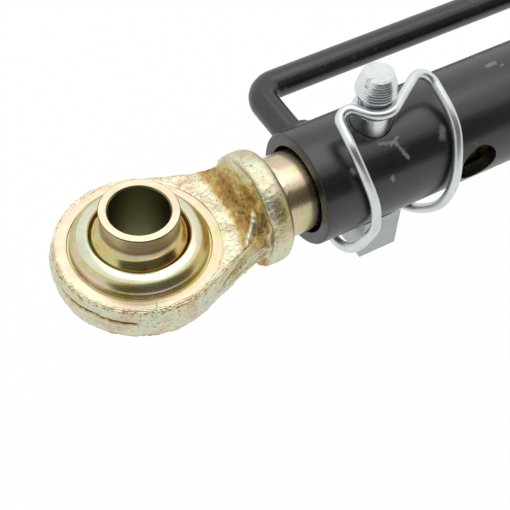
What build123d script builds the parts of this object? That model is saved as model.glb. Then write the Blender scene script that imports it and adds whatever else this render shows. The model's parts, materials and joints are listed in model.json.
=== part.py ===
from build123d import *
import math
import os

os.makedirs("parts", exist_ok=True)

# Stabilizer link for a tractor's lower links, lengths in millimetres.
# The origin is the centre of the front ball. +X runs along the link to the
# rear ball, +Z is the axis of both ball bores, and the handle is on +Y.

# Balls: a bore, a sleeve round it and the ball's band round the sleeve
ball_bore_radius = 11.1
ball_width = 50.0
sleeve_wall = 3.4
sleeve_waist_depth = 0.5
sleeve_waist_place = 0.35
sleeve_chamfer = 0.6
ball_over_sleeve = 6.9
ball_running_clearance = 0.07

# Forged eye that is swaged over the ball
swage_angle = 34.0
lip_rise = 1.2
lip_crown_across = 0.55
lip_crown_down = 0.28
boss_wall = 3.43
boss_shoulder_drop = 3.9
foot_groove_width = 1.1
foot_groove_depth = 0.8
spot_face_width = 4.7
spot_face_depth = 0.3
rim_width = 2.8
eye_half_thickness = 7.4
forging_draft = 11.5

# Neck between the eye and the collar
neck_lean = 21.7
neck_start = 27.0
neck_rise_start = 32.5
neck_end_side_inset = 2.6
neck_end_inset = 1.3
neck_end_corner_angle = 38.0
neck_flat_crown = 0.05
neck_section_places = (0.0, 0.3, 0.65, 1.0)

# Collar and front rod
rod_radius = 16.0
rod_length = 134.0
collar_step = 6.2
collar_back = 45.4
collar_width = 8.6
collar_back_round = 1.4
collar_front_round = 4.2
neck_into_collar = 0.6
shank_end_chamfer = 2.0

# Tube
rod_to_tube_play = 1.5
tube_wall = 5.0
tube_length = 250.0
collar_to_tube_gap = 13.0
tube_edge_chamfer = 0.7
pin_from_tube_face = 31.0
spare_hole_from_tube_face = 70.0

# Lock pin and the play that its slot leaves the rod
pin_radius = 8.0
pin_hole_clearance = 0.25
spare_hole_clearance = 0.5
rod_float = 12.0
slot_end_clearance = 0.5
pin_land = 0.7
pin_nose_length = 8.5
pin_nose_taper = 2.4
pin_nose_bulge = 0.45
clip_groove_depth = 1.5
clip_groove_play = 0.5
head_over_pin = 0.5
head_half_width = 17.0
head_drop = 13.0
head_corner_round = 3.0
saddle_over_tube = 1.5
saddle_gap = 0.3

# Wire clip
wire_radius = 2.0
wire_hole_clearance = 0.1
clip_pivot_below_tube = 7.0
clip_top_above_tube = 11.3
clip_groove_clearance = 0.2
clip_end_gap = 5.0
clip_leg_reach = 17.0
left_arm_lean = 52.0
right_arm_lean = 33.0
left_arm_length = 22.0
right_arm_length = 35.0
shoulder_bend = (4.0, 6.0)

# Handle
handle_bar_radius = 6.0
handle_off_tube = 30.2
handle_from_tube_face = 13.7
handle_span = 180.0
handle_bend_radius = 9.0
handle_weld_leg = 3.2
handle_weld_spread = 1.4
handle_weld_crown = 3.0

# Rear end: screwed bush, jam nut and the adjusting rod end
bush_wall = 2.34
thread_clearance = 0.06
bush_flange_width = 18.0
bush_flange_chamfer = 1.5
bush_spigot_length = 25.0
spigot_clearance = 0.1
bush_weld_leg = 2.6
nut_wall = 8.0
nut_width = 15.0
nut_gap = 0.3
nut_chamfer_angle = 30.0
shank_showing = 45.0
shank_inside = 97.0

# Radii that follow from these
sleeve_radius = ball_bore_radius + sleeve_wall
sleeve_waist_radius = sleeve_radius - sleeve_waist_depth
ball_radius = sleeve_radius + ball_over_sleeve
seat_radius = ball_radius + ball_running_clearance
lip_mouth_radius = seat_radius * math.cos(math.radians(swage_angle))
seat_top = seat_radius * math.sin(math.radians(swage_angle))
lip_height = seat_top + lip_rise
boss_radius = seat_radius + boss_wall
boss_round_height = lip_height - boss_shoulder_drop
spot_face_radius = boss_radius + spot_face_width
eye_parting_radius = spot_face_radius + rim_width
collar_radius = rod_radius + collar_step
tube_bore_radius = rod_radius + rod_to_tube_play
tube_radius = tube_bore_radius + tube_wall
clip_groove_radius = pin_radius - clip_groove_depth
clip_hug_radius = clip_groove_radius + wire_radius + clip_groove_clearance
saddle_radius = tube_radius + saddle_over_tube
saddle_centre = saddle_over_tube - saddle_gap
spigot_radius = tube_bore_radius - spigot_clearance
bush_bore_radius = spigot_radius - bush_wall
thread_radius = bush_bore_radius - thread_clearance
nut_flat_radius = thread_radius + nut_wall

# Places along the link, from the front ball
collar_face = collar_back + collar_width
tube_face = collar_face + collar_to_tube_gap
tube_end = tube_face + tube_length
pin_x = tube_face + pin_from_tube_face
spare_hole_x = tube_face + spare_hole_from_tube_face
handle_front_x = tube_face + handle_from_tube_face
handle_rear_x = handle_front_x + handle_span
bush_end = tube_end + bush_flange_width
nut_start = bush_end + nut_gap
nut_end = nut_start + nut_width
rear_eye_x = nut_end + shank_showing + collar_face

# Heights from the link's axis
handle_height = tube_radius + handle_off_tube
head_bottom = tube_radius + head_drop
clip_pivot_drop = tube_radius + clip_pivot_below_tube
clip_top_height = tube_radius + clip_top_above_tube
groove_half_width = wire_radius + clip_groove_play
groove_bottom = clip_top_height - groove_half_width
groove_top = clip_top_height + groove_half_width
pin_nose_start = groove_top + clip_groove_depth + pin_land
pin_top = pin_nose_start + pin_nose_length
pin_tip_radius = pin_radius - pin_nose_taper


def finish(builder, name):
    """Labels a finished piece and writes it."""
    builder.part.label = name
    export_step(builder.part, f"parts/{name}.step")


def plane_across(base, distance):
    """The plane square to a rod end's shank, at a distance from its eye."""
    middle = base.from_local_coords(Vector(distance, 0, 0))
    return Plane(middle, x_dir=base.y_dir, z_dir=base.x_dir)


def plane_upright(base):
    """The plane that holds both the shank's axis and the bore's axis."""
    return Plane(base.origin, x_dir=base.x_dir, z_dir=-base.y_dir)


def neck_section(plane, side_half_width, corner_half_width, corner_height, crown_height):
    """A forging's section: widest on the parting line, with crowned top and bottom."""
    with BuildSketch(plane) as section:
        with BuildLine():
            for side in (1, -1):
                crown = ThreePointArc(
                    (corner_half_width, side * corner_height),
                    (0, side * crown_height),
                    (-corner_half_width, side * corner_height),
                )
                Line((side_half_width, 0), crown @ 0)
                Line((-side_half_width, 0), crown @ 1)
        make_face()
    return section.sketch


def neck_sections(base):
    """Sections from the flat of the eye up the hollow curve to the collar."""
    lean = math.radians(neck_lean)
    tapers_by = eye_half_thickness * math.tan(math.radians(forging_draft)) / math.cos(lean)

    def straight_side(distance):
        return (eye_parting_radius - distance * math.sin(lean)) / math.cos(lean)

    flat = [
        neck_section(
            plane_across(base, distance),
            straight_side(distance),
            straight_side(distance) - tapers_by,
            eye_half_thickness,
            eye_half_thickness + neck_flat_crown,
        )
        for distance in (neck_start, neck_rise_start)
    ]
    waist = straight_side(neck_rise_start)
    rise = collar_back + neck_into_collar - neck_rise_start
    end_radius = collar_radius - neck_end_inset
    end_side = collar_radius - neck_end_side_inset
    end_corner = end_radius * math.cos(math.radians(neck_end_corner_angle))
    end_corner_height = end_radius * math.sin(math.radians(neck_end_corner_angle))
    rising = []
    for share in neck_section_places:
        lift = 1 - math.sqrt(1 - share**2)
        rising.append(
            neck_section(
                plane_across(base, neck_rise_start + rise * share),
                waist + (end_side - waist) * share,
                waist - tapers_by + (end_corner - waist + tapers_by) * share,
                eye_half_thickness + (end_corner_height - eye_half_thickness) * lift,
                eye_half_thickness + (end_radius - eye_half_thickness) * lift + neck_flat_crown,
            )
        )
    return flat, rising


def rod_end_forging(base, shank_radius, shank_length):
    """Eye, neck, collar and shank in one forging, with the seat for its ball."""
    lean = math.radians(neck_lean)
    touch_x = eye_parting_radius * math.sin(lean)
    touch_y = eye_parting_radius * math.cos(lean)
    outline_end_y = touch_y - (neck_rise_start - touch_x) * math.tan(lean)
    bore_axis = Axis(base.origin, base.z_dir)
    shank_axis = Axis(base.origin, base.x_dir)
    upright = plane_upright(base)
    spot_face = eye_half_thickness - spot_face_depth
    above_lip = 2 * lip_height

    # ring with forging draft above and below the parting line
    with BuildPart() as ring:
        with BuildSketch(base):
            with BuildLine():
                rim = ThreePointArc(
                    (touch_x, touch_y), (-eye_parting_radius, 0), (touch_x, -touch_y)
                )
                Polyline(
                    rim @ 1,
                    (neck_rise_start, -outline_end_y),
                    (neck_rise_start, outline_end_y),
                    rim @ 0,
                )
            make_face()
        extrude(amount=eye_half_thickness, taper=forging_draft)
        mirror(about=base)
        split(bisect_by=plane_across(base, neck_start), keep=Keep.BOTTOM)

    flat, rising = neck_sections(base)
    with BuildPart() as forging:
        add(ring.part)
        loft(flat, ruled=True)
        loft(rising)
        # collar and shank
        with BuildSketch(upright):
            with BuildLine():
                FilletPolyline(
                    (collar_back, 0),
                    (collar_back, collar_radius),
                    (collar_face, collar_radius),
                    (collar_face, 0),
                    radius=[0, collar_back_round, collar_front_round, 0],
                    close=True,
                )
            make_face()
        revolve(axis=shank_axis)
        with BuildSketch(plane_across(base, collar_face)):
            Circle(shank_radius)
        extrude(amount=shank_length)
        shank_end = forging.faces().sort_by(shank_axis)[-1]
        chamfer(shank_end.edges(), shank_end_chamfer)

        # machined seat for the washer round the boss, on both sides
        for side in (1, -1):
            with BuildSketch(base.offset(side * spot_face)):
                Circle(spot_face_radius)
            extrude(amount=side * spot_face_depth, mode=Mode.SUBTRACT)

        # boss with its swaged lip
        with BuildSketch(upright):
            with BuildLine():
                mouth = Line((lip_mouth_radius, 0), (lip_mouth_radius, lip_height))
                lip_crown = (
                    lip_mouth_radius + (boss_radius - lip_mouth_radius) * lip_crown_across,
                    lip_height - (lip_height - boss_round_height) * lip_crown_down,
                )
                crown = ThreePointArc(mouth @ 1, lip_crown, (boss_radius, boss_round_height))
                Polyline(crown @ 1, (boss_radius, 0), mouth @ 0)
            make_face()
            mirror(about=Plane.XZ)
        revolve(axis=bore_axis)

        # turned groove at the foot of the boss, on both sides
        with BuildSketch(upright):
            for side in (1, -1):
                with Locations((boss_radius + foot_groove_width / 2, side * spot_face)):
                    Rectangle(foot_groove_width, 2 * foot_groove_depth)
        revolve(axis=bore_axis, mode=Mode.SUBTRACT)

        # spherical seat and its mouths
        with BuildSketch(upright):
            with BuildLine():
                seat = ThreePointArc(
                    (lip_mouth_radius, -seat_top), (seat_radius, 0), (lip_mouth_radius, seat_top)
                )
                Polyline(
                    seat @ 1,
                    (lip_mouth_radius, above_lip),
                    (0, above_lip),
                    (0, -above_lip),
                    (lip_mouth_radius, -above_lip),
                    seat @ 0,
                )
            make_face()
        revolve(axis=bore_axis, mode=Mode.SUBTRACT)
    return forging


def bored_ball(base):
    """Ball with a sleeve on each side and a bore from face to face."""
    sleeve_foot = math.sqrt(ball_radius**2 - sleeve_radius**2)
    half_width = ball_width / 2
    waist_height = sleeve_foot + (half_width - sleeve_foot) * sleeve_waist_place
    with BuildPart() as ball:
        with BuildSketch(plane_upright(base)):
            with BuildLine():
                band = ThreePointArc(
                    (sleeve_radius, -sleeve_foot), (ball_radius, 0), (sleeve_radius, sleeve_foot)
                )
                upper = Spline(
                    band @ 1,
                    (sleeve_waist_radius, waist_height),
                    (sleeve_radius, half_width - sleeve_chamfer),
                )
                lower = Spline(
                    band @ 0,
                    (sleeve_waist_radius, -waist_height),
                    (sleeve_radius, sleeve_chamfer - half_width),
                )
                Polyline(
                    upper @ 1,
                    (sleeve_radius - sleeve_chamfer, half_width),
                    (ball_bore_radius, half_width),
                    (ball_bore_radius, -half_width),
                    (sleeve_radius - sleeve_chamfer, -half_width),
                    lower @ 1,
                )
            make_face()
        revolve(axis=Axis(base.origin, base.z_dir))
    return ball


front_base = Plane.XY
rear_base = Plane((rear_eye_x, 0, 0), x_dir=(-1, 0, 0), z_dir=(0, 0, 1))
pin_base = Plane((pin_x, 0, 0), x_dir=(1, 0, 0), z_dir=(0, -1, 0))

front_ball = bored_ball(front_base)
finish(front_ball, "front_ball")

rear_ball = bored_ball(rear_base)
finish(rear_ball, "rear_ball")

# Front rod end: a slot through the rod lets it float on the lock pin, and a
# cross hole lines up with the tube's spare hole when the rod is pulled out
front_forging = rod_end_forging(front_base, rod_radius, rod_length)
slot_width = 2 * (pin_radius + pin_hole_clearance)
slot_length = slot_width + 2 * (rod_float + slot_end_clearance)
with BuildPart() as front_rod_end:
    add(front_forging.part)
    with BuildSketch(Plane.XY):
        with Locations((pin_x, 0)):
            SlotOverall(slot_length, slot_width)
    extrude(amount=rod_radius, both=True, mode=Mode.SUBTRACT)
    with BuildSketch(Plane.XZ):
        with Locations((spare_hole_x + rod_float, 0)):
            Circle(pin_radius + pin_hole_clearance)
    extrude(amount=rod_radius, both=True, mode=Mode.SUBTRACT)
finish(front_rod_end, "front_rod_end")

# Rear rod end: its shank is threaded into the bush
rear_shank_length = shank_showing + nut_width + nut_gap + shank_inside
rear_rod_end = rod_end_forging(rear_base, thread_radius, rear_shank_length)
finish(rear_rod_end, "rear_rod_end")

# Tube
with BuildPart() as tube:
    with BuildSketch(Plane.YZ.offset(tube_face)):
        Circle(tube_radius)
        Circle(tube_bore_radius, mode=Mode.SUBTRACT)
    extrude(amount=tube_length)
    chamfer(tube.faces().sort_by(Axis.X)[0].edges(), tube_edge_chamfer)
    with BuildSketch(Plane.XY):
        with Locations((pin_x, 0)):
            Circle(pin_radius + pin_hole_clearance)
    extrude(amount=tube_radius, both=True, mode=Mode.SUBTRACT)
    with BuildSketch(Plane.XZ):
        with Locations((spare_hole_x, 0)):
            Circle(pin_radius + spare_hole_clearance)
    extrude(amount=tube_radius, both=True, mode=Mode.SUBTRACT)
finish(tube, "tube")

# Handle: one bent bar whose ends are cut to sit on the tube
with BuildPart() as handle:
    with BuildLine():
        FilletPolyline(
            (handle_front_x, 0, 0),
            (handle_front_x, handle_height, 0),
            (handle_rear_x, handle_height, 0),
            (handle_rear_x, 0, 0),
            radius=handle_bend_radius,
        )
    with BuildSketch(Plane((handle_front_x, 0, 0), x_dir=(1, 0, 0), z_dir=(0, 1, 0))):
        Circle(handle_bar_radius)
    sweep()
    with BuildSketch(Plane.YZ.offset(tube_face)):
        Circle(tube_radius)
    extrude(amount=tube_length, mode=Mode.SUBTRACT)
finish(handle, "handle")

# Handle welds: a fillet bead round each leg where it meets the tube
weld_toe_radius = handle_bar_radius + handle_weld_spread * handle_weld_leg
weld_toe_height = math.sqrt(tube_radius**2 - weld_toe_radius**2)
for name, leg_x in (("front_handle_weld", handle_front_x), ("rear_handle_weld", handle_rear_x)):
    with BuildPart() as weld:
        with BuildSketch(Plane((leg_x, 0, 0), x_dir=(1, 0, 0), z_dir=(0, 0, 1))):
            with BuildLine():
                top = (handle_bar_radius, tube_radius + handle_weld_leg)
                toe = (weld_toe_radius, weld_toe_height)
                Polyline(toe, (handle_bar_radius, weld_toe_height), top)
                RadiusArc(top, toe, handle_weld_crown * handle_weld_leg)
            make_face()
        revolve(axis=Axis((leg_x, 0, 0), (0, 1, 0)))
        with BuildSketch(Plane.YZ.offset(tube_face)):
            Circle(tube_radius)
        extrude(amount=tube_length, mode=Mode.SUBTRACT)
    finish(weld, name)

# Lock pin: turned pin and its forged head, which straddles the tube from below
head_length = 2 * (pin_radius + head_over_pin)
with BuildPart() as lock_pin:
    with BuildSketch(Plane.YZ.offset(pin_x - head_length / 2)):
        with Locations((0, -head_bottom / 2)):
            Rectangle(2 * head_half_width, head_bottom)
        with Locations((0, saddle_centre)):
            Circle(saddle_radius, mode=Mode.SUBTRACT)
    extrude(amount=head_length)
    underside = lock_pin.faces().sort_by(Axis.Z)[0]
    fillet(underside.edges(), head_corner_round)
    with BuildSketch(pin_base):
        with BuildLine():
            body = Polyline(
                (0, -clip_pivot_drop),
                (pin_radius, -clip_pivot_drop),
                (pin_radius, groove_bottom - clip_groove_depth),
                (clip_groove_radius, groove_bottom),
                (clip_groove_radius, groove_top),
                (pin_radius, groove_top + clip_groove_depth),
                (pin_radius, pin_nose_start),
            )
            nose_middle = (
                (pin_radius + pin_tip_radius) / 2 + pin_nose_bulge,
                (pin_nose_start + pin_top) / 2,
            )
            nose = ThreePointArc(body @ 1, nose_middle, (pin_tip_radius, pin_top))
            Polyline(nose @ 1, (0, pin_top), body @ 0)
        make_face()
    revolve(axis=Axis((pin_x, 0, 0), (0, 0, 1)))
    with BuildSketch(Plane.YZ.offset(pin_x)):
        with Locations((0, -clip_pivot_drop)):
            Circle(wire_radius + wire_hole_clearance)
    extrude(amount=head_length / 2, both=True, mode=Mode.SUBTRACT)
finish(lock_pin, "lock_pin")

# Wire clip: the notch in its top hugs the pin's groove between two straight
# arms, and its two ends turn in the cross hole of the pin's head
left_lean = math.radians(left_arm_lean)
right_lean = math.radians(right_arm_lean)
notch_reach = clip_hug_radius / math.cos((left_lean + right_lean) / 2)
notch_turn = (right_lean - left_lean) / 2
notch = (
    notch_reach * math.sin(notch_turn),
    -notch_reach * math.cos(notch_turn),
    clip_top_height,
)
left_shoulder = (
    notch[0] - left_arm_length * math.cos(left_lean),
    notch[1] + left_arm_length * math.sin(left_lean),
    clip_top_height,
)
right_shoulder = (
    notch[0] + right_arm_length * math.cos(right_lean),
    notch[1] + right_arm_length * math.sin(right_lean),
    clip_top_height,
)


def beside_tube(along, clock, standoff):
    """A corner of the wire: along the tube from the pin, degrees up from the
    tube's near side, and how far it stands off the tube."""
    reach = tube_radius + standoff
    angle = math.radians(clock)
    return (along, -reach * math.cos(angle), reach * math.sin(angle))


# each corner of the wire with the radius of its bend, from one end to the other
clip_corners = [
    ((-clip_leg_reach, 0, -clip_pivot_drop), 6.0),
    (beside_tube(-15.2, -56.3, 11.8), 10.0),
    (beside_tube(-10.4, -17.4, 4.2), 14.0),
    (beside_tube(-13.2, 19.2, 4.8), 16.0),
    (beside_tube(-17.8, 61.8, 8.2), 12.0),
    (left_shoulder, shoulder_bend[0]),
    (notch, clip_hug_radius),
    (right_shoulder, shoulder_bend[1]),
    (beside_tube(28.6, 52.3, 5.3), 14.0),
    (beside_tube(24.6, 4.2, 5.1), 16.0),
    (beside_tube(24.2, -37.1, 5.7), 12.0),
    (beside_tube(22.5, -74.3, 10.7), 5.0),
    ((clip_leg_reach, 0, -clip_pivot_drop), 5.0),
]
clip_start = (-clip_end_gap / 2, 0, -clip_pivot_drop)
clip_finish = (clip_end_gap / 2, 0, -clip_pivot_drop)
clip_route = [clip_start, *(corner for corner, bend in clip_corners), clip_finish]
with BuildPart() as wire_clip:
    with BuildLine(Plane((pin_x, 0, 0))):
        FilletPolyline(*clip_route, radius=[bend for corner, bend in clip_corners])
    with BuildSketch(Plane.YZ.offset(pin_x + clip_start[0])):
        with Locations((0, -clip_pivot_drop)):
            Circle(wire_radius)
    sweep()
finish(wire_clip, "wire_clip")

# Threaded bush: a spigot in the tube and a flange that is welded to its end
with BuildPart() as threaded_bush:
    with BuildSketch(Plane.YZ.offset(tube_end)):
        Circle(tube_radius)
    extrude(amount=bush_flange_width)
    with BuildSketch(Plane.YZ.offset(tube_end)):
        Circle(spigot_radius)
    extrude(amount=-bush_spigot_length)
    with BuildSketch(Plane.YZ.offset(tube_end - bush_spigot_length)):
        Circle(bush_bore_radius)
    extrude(amount=bush_spigot_length + bush_flange_width, mode=Mode.SUBTRACT)
    rear_face = threaded_bush.faces().sort_by(Axis.X)[-1]
    chamfer(rear_face.outer_wire().edges(), bush_flange_chamfer)
finish(threaded_bush, "threaded_bush")

# Bush weld: a bead round the joint between the tube and the flange
with BuildPart() as bush_weld:
    with BuildSketch(Plane.XY):
        with BuildLine():
            left_toe = (tube_end - bush_weld_leg, tube_radius)
            right_toe = (tube_end + bush_weld_leg, tube_radius)
            ThreePointArc(left_toe, (tube_end, tube_radius + bush_weld_leg / 2), right_toe)
            Line(right_toe, left_toe)
        make_face()
    revolve(axis=Axis.X)
finish(bush_weld, "bush_weld")

# Jam nut: a hexagon whose corners are turned off on both faces
nut_corner_radius = nut_flat_radius / math.cos(math.radians(30))
nut_corner_drop = (nut_corner_radius - nut_flat_radius) * math.tan(math.radians(nut_chamfer_angle))
with BuildPart() as jam_nut:
    with BuildSketch(Plane.YZ.offset(nut_start)):
        RegularPolygon(nut_flat_radius, 6, major_radius=False)
        Circle(bush_bore_radius, mode=Mode.SUBTRACT)
    extrude(amount=nut_width)
    with BuildSketch(Plane.XY):
        with BuildLine():
            Polyline(
                (nut_start, 0),
                (nut_start, nut_flat_radius),
                (nut_start + nut_corner_drop, nut_corner_radius),
                (nut_end - nut_corner_drop, nut_corner_radius),
                (nut_end, nut_flat_radius),
                (nut_end, 0),
                close=True,
            )
        make_face()
    revolve(axis=Axis.X, mode=Mode.INTERSECT)
finish(jam_nut, "jam_nut")
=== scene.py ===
# %% [markdown]
# # A stabilizer link
#
# A stabilizer link keeps the lower arms of a tractor from swaying. It is a
# black tube with a ball eye at each end. The front eye is forged in one piece
# with a rod that slides in the tube, and a lock pin holds it there. A wire clip
# snaps round the pin, and a handle on the tube's side turns the whole link on
# its screwed rear end.
#
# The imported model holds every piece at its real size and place. This script
# keeps those places and gives each piece a finer shape and a real finish.

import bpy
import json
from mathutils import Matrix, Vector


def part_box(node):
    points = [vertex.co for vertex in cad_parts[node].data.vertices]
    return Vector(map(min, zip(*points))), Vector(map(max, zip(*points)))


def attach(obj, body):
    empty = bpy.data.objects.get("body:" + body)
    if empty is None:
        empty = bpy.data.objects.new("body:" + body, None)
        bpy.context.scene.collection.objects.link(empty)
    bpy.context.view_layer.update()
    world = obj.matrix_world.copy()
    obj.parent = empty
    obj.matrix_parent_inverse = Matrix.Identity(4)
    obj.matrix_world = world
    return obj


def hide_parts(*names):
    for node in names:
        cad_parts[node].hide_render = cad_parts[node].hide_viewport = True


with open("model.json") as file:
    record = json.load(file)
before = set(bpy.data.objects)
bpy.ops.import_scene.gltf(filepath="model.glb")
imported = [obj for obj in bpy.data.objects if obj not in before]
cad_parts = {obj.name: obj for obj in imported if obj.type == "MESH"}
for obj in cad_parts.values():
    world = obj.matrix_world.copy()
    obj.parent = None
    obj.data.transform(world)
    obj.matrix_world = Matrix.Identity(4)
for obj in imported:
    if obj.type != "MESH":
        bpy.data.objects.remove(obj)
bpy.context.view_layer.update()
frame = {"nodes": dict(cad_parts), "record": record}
print("nodes:", sorted(frame["nodes"]))

# %% [markdown]
# The rest of the imports come next, and the one unit that everything shares.
# Blender counts in metres, but the pieces here are a few centimetres long, so
# sizes are written in millimetres and turned into metres when a mesh is made.

# %% Imports and units
import json
import math

import bmesh
import bpy
import numpy as np
from mathutils import Matrix, Vector, noise

MM = 0.001


def node_box(name):
    """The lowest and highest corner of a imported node, in millimetres."""
    low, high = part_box(name)
    return low / MM, high / MM


# %% [markdown]
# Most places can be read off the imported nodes, so they are worked out from
# their boxes. The link lies along X, both ball bores stand along Z, and the
# handle is on the +Y side.

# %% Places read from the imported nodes
tube_low, tube_high = node_box("tube")
tube_face, tube_end, tube_radius = tube_low.x, tube_high.x, tube_high.y
ball_high = node_box("front_ball")[1]
ball_radius, ball_half_width = ball_high.x, ball_high.z
eye_low, eye_high = node_box("front_rod_end")
eye_radius, rod_end_x = -eye_low.x, eye_high.x
rear_ball_low, rear_ball_high = node_box("rear_ball")
rear_eye_x = (rear_ball_low.x + rear_ball_high.x) / 2
rear_shank_end = node_box("rear_rod_end")[0].x
pin_low, pin_high = node_box("lock_pin")
pin_x = (pin_low.x + pin_high.x) / 2
bush_low, bush_high = node_box("threaded_bush")
nut_low, nut_high = node_box("jam_nut")
weld_low, weld_high = node_box("front_handle_weld")
handle_front_x = (weld_low.x + weld_high.x) / 2
weld_low, weld_high = node_box("rear_handle_weld")
handle_rear_x = (weld_low.x + weld_high.x) / 2
ball_bore = frame["record"]["mounts"][0]["dims"]["r_mm"]
print("tube from", round(tube_face, 2), "to", round(tube_end, 2), "mm, radius", round(tube_radius, 2))
print("rear eye at", round(rear_eye_x, 2), "mm, pin at", round(pin_x, 2), "mm")

# %% [markdown]
# ## Tools for shaping
#
# Nearly everything here was turned on a lathe, bent from a bar or forged. A
# turned piece is an outline spun about an axis, so one function does that. An
# outline drawn from straight runs has sharp corners, and real edges are never
# sharp: the next function puts an arc in each corner. It works in 3-D as well,
# so the wire clip and the handle use it for their bends.

# %% Round the corners of an outline or a route


def round_corners(corners, bends, closed=True, step_degrees=9.0):
    """Puts an arc of the given radius in each corner, tangent to both runs."""
    corners = [Vector(corner).to_3d() for corner in corners]
    route = []
    for place, (corner, bend) in enumerate(zip(corners, bends)):
        at_end = not closed and place in (0, len(corners) - 1)
        if bend == 0 or at_end:
            route.append(corner)
            continue
        back = (corners[place - 1] - corner).normalized()
        onward = (corners[(place + 1) % len(corners)] - corner).normalized()
        half = back.angle(onward) / 2
        turn = math.pi - 2 * half
        centre = corner + (back + onward).normalized() * (bend / math.sin(half))
        first = corner + back * (bend / math.tan(half)) - centre
        last = corner + onward * (bend / math.tan(half)) - centre
        steps = max(2, math.ceil(math.degrees(turn) / step_degrees))
        for step in range(steps + 1):
            share = step / steps
            arm = first * math.sin((1 - share) * turn) + last * math.sin(share * turn)
            route.append(centre + arm / math.sin(turn))
    return route


# %% [markdown]
# A mesh made in code is a list of points and a list of faces. Faces must point
# outwards, and Blender shades a mesh flat unless it is told to smooth it. The
# angle says which edges stay crisp: turned steps do, and round stretches don't.

# %% Make an object from points and faces


def make_piece(name, points, faces, crisp_degrees=32.0):
    """A closed mesh object from points in millimetres, smooth but for crisp edges."""
    mesh = bpy.data.meshes.new(name)
    mesh.from_pydata([tuple(Vector(point) * MM) for point in points], [], faces)
    work = bmesh.new()
    work.from_mesh(mesh)
    bmesh.ops.remove_doubles(work, verts=work.verts, dist=1e-7)
    bmesh.ops.recalc_face_normals(work, faces=work.faces)
    work.to_mesh(mesh)
    work.free()
    piece = bpy.data.objects.new(name, mesh)
    bpy.context.scene.collection.objects.link(piece)
    soften(piece, crisp_degrees)
    return piece


def soften(piece, crisp_degrees=32.0):
    """Shades a piece smooth and keeps the edges that turn by more than the angle."""
    piece.data.polygons.foreach_set("use_smooth", [True] * len(piece.data.polygons))
    piece.data.set_sharp_from_angle(angle=math.radians(crisp_degrees))


# %% [markdown]
# The lathe takes an outline as (radius, height) pairs and spins it about the
# local Z axis. A matrix then lays the piece down where it belongs. A Screw
# modifier could do the same, but a loop keeps the poles closed and needs no
# clean-up.

# %% The lathe
UPRIGHT = Matrix.Identity(4)
ALONG_LINK = Matrix.Rotation(math.radians(90), 4, "Y")


def lathe(name, outline, place=UPRIGHT, steps=128):
    """Spins a closed outline of (radius, height) pairs into a solid."""
    points = []
    rings = []
    for radius, height in outline:
        first = len(points)
        around = 1 if radius < 1e-6 else steps
        for step in range(around):
            angle = 2 * math.pi * step / steps
            spun = Vector((radius * math.cos(angle), radius * math.sin(angle), height))
            points.append(place @ spun)
        rings.append(range(first, first + around))
    faces = []
    for near, far in zip(rings, rings[1:] + rings[:1]):
        for step in range(steps):
            after = (step + 1) % steps
            corners = [
                near[step % len(near)],
                near[after % len(near)],
                far[after % len(far)],
                far[step % len(far)],
            ]
            corners = list(dict.fromkeys(corners))
            if len(corners) > 2:
                faces.append(corners)
    return make_piece(name, points, faces)


def flat_outline(corners, bends):
    """Rounds an outline's corners and gives it back as (radius, height) pairs."""
    return [(point.x, point.y) for point in round_corners(corners, bends)]


# %% [markdown]
# Holes and slots are cut with Boolean modifiers. The result of a modifier is
# only a preview until it is turned into a plain mesh, so a small helper does
# that after each cut.

# %% Settle modifiers and cut holes


def settle(piece):
    """Turns what the modifiers show into the piece's own plain mesh."""
    bpy.context.view_layer.update()
    graph = bpy.context.evaluated_depsgraph_get()
    finished = bpy.data.meshes.new_from_object(piece.evaluated_get(graph))
    piece.modifiers.clear()
    piece.data = finished
    return piece


def combine(piece, tool, operation):
    """Cuts a tool out of a piece, joins it on, or keeps what both share."""
    step = piece.modifiers.new("Combine", "BOOLEAN")
    step.operation = operation
    step.solver = "MANIFOLD"
    step.object = tool
    settle(piece)
    bpy.data.objects.remove(tool)
    return piece


def drill(piece, radius, start, end):
    """Cuts a round hole from one point to another."""
    start, end = Vector(start), Vector(end)
    turn = (end - start).to_track_quat("Z", "Y").to_matrix().to_4x4()
    outline = [(0, 0), (radius, 0), (radius, (end - start).length), (0, (end - start).length)]
    tool = lathe("drill", outline, Matrix.Translation(start) @ turn, steps=96)
    return combine(piece, tool, "DIFFERENCE")


# %% [markdown]
# ## Tools for materials
#
# A material in Blender is a small graph of nodes. Writing each node and link
# out takes many lines, so `put` adds a node and fills its inputs in one go: a
# number sets an input, and another node's output is linked to it.

# %% Add shader nodes


def put(tree, kind, inputs=None, **settings):
    """Adds a node, sets its options and fills or links its inputs."""
    own_family = kind.startswith(("Geometry", "Function"))
    made = tree.nodes.new(kind if own_family else "ShaderNode" + kind)
    for name, value in settings.items():
        setattr(made, name, value)
    for name, value in (inputs or {}).items():
        if isinstance(value, bpy.types.NodeSocket):
            tree.links.new(value, made.inputs[name])
        else:
            made.inputs[name].default_value = value
    return made


def sums(tree, operation, *values):
    """The output of a Math node."""
    return put(tree, "Math", dict(enumerate(values)), operation=operation).outputs[0]


def ramp(tree, factor, stops):
    """Colours along a factor: each stop is a place and a colour or a grey."""
    made = put(tree, "ValToRGB", {"Fac": factor})
    while len(made.color_ramp.elements) < len(stops):
        made.color_ramp.elements.new(0.5)
    for element, (place, shade) in zip(made.color_ramp.elements, stops):
        element.position = place
        element.color = (*shade, 1) if isinstance(shade, tuple) else (shade, shade, shade, 1)
    return made.outputs["Color"]


def blend_colours(tree, factor, below, above, how="MIX"):
    """Mixes two colours by a factor."""
    made = put(tree, "Mix", {"Factor": factor}, data_type="RGBA", blend_type=how)
    for place, shade in ((6, below), (7, above)):
        if isinstance(shade, bpy.types.NodeSocket):
            tree.links.new(shade, made.inputs[place])
        else:
            made.inputs[place].default_value = (*shade, 1)
    return made.outputs[2]


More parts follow.
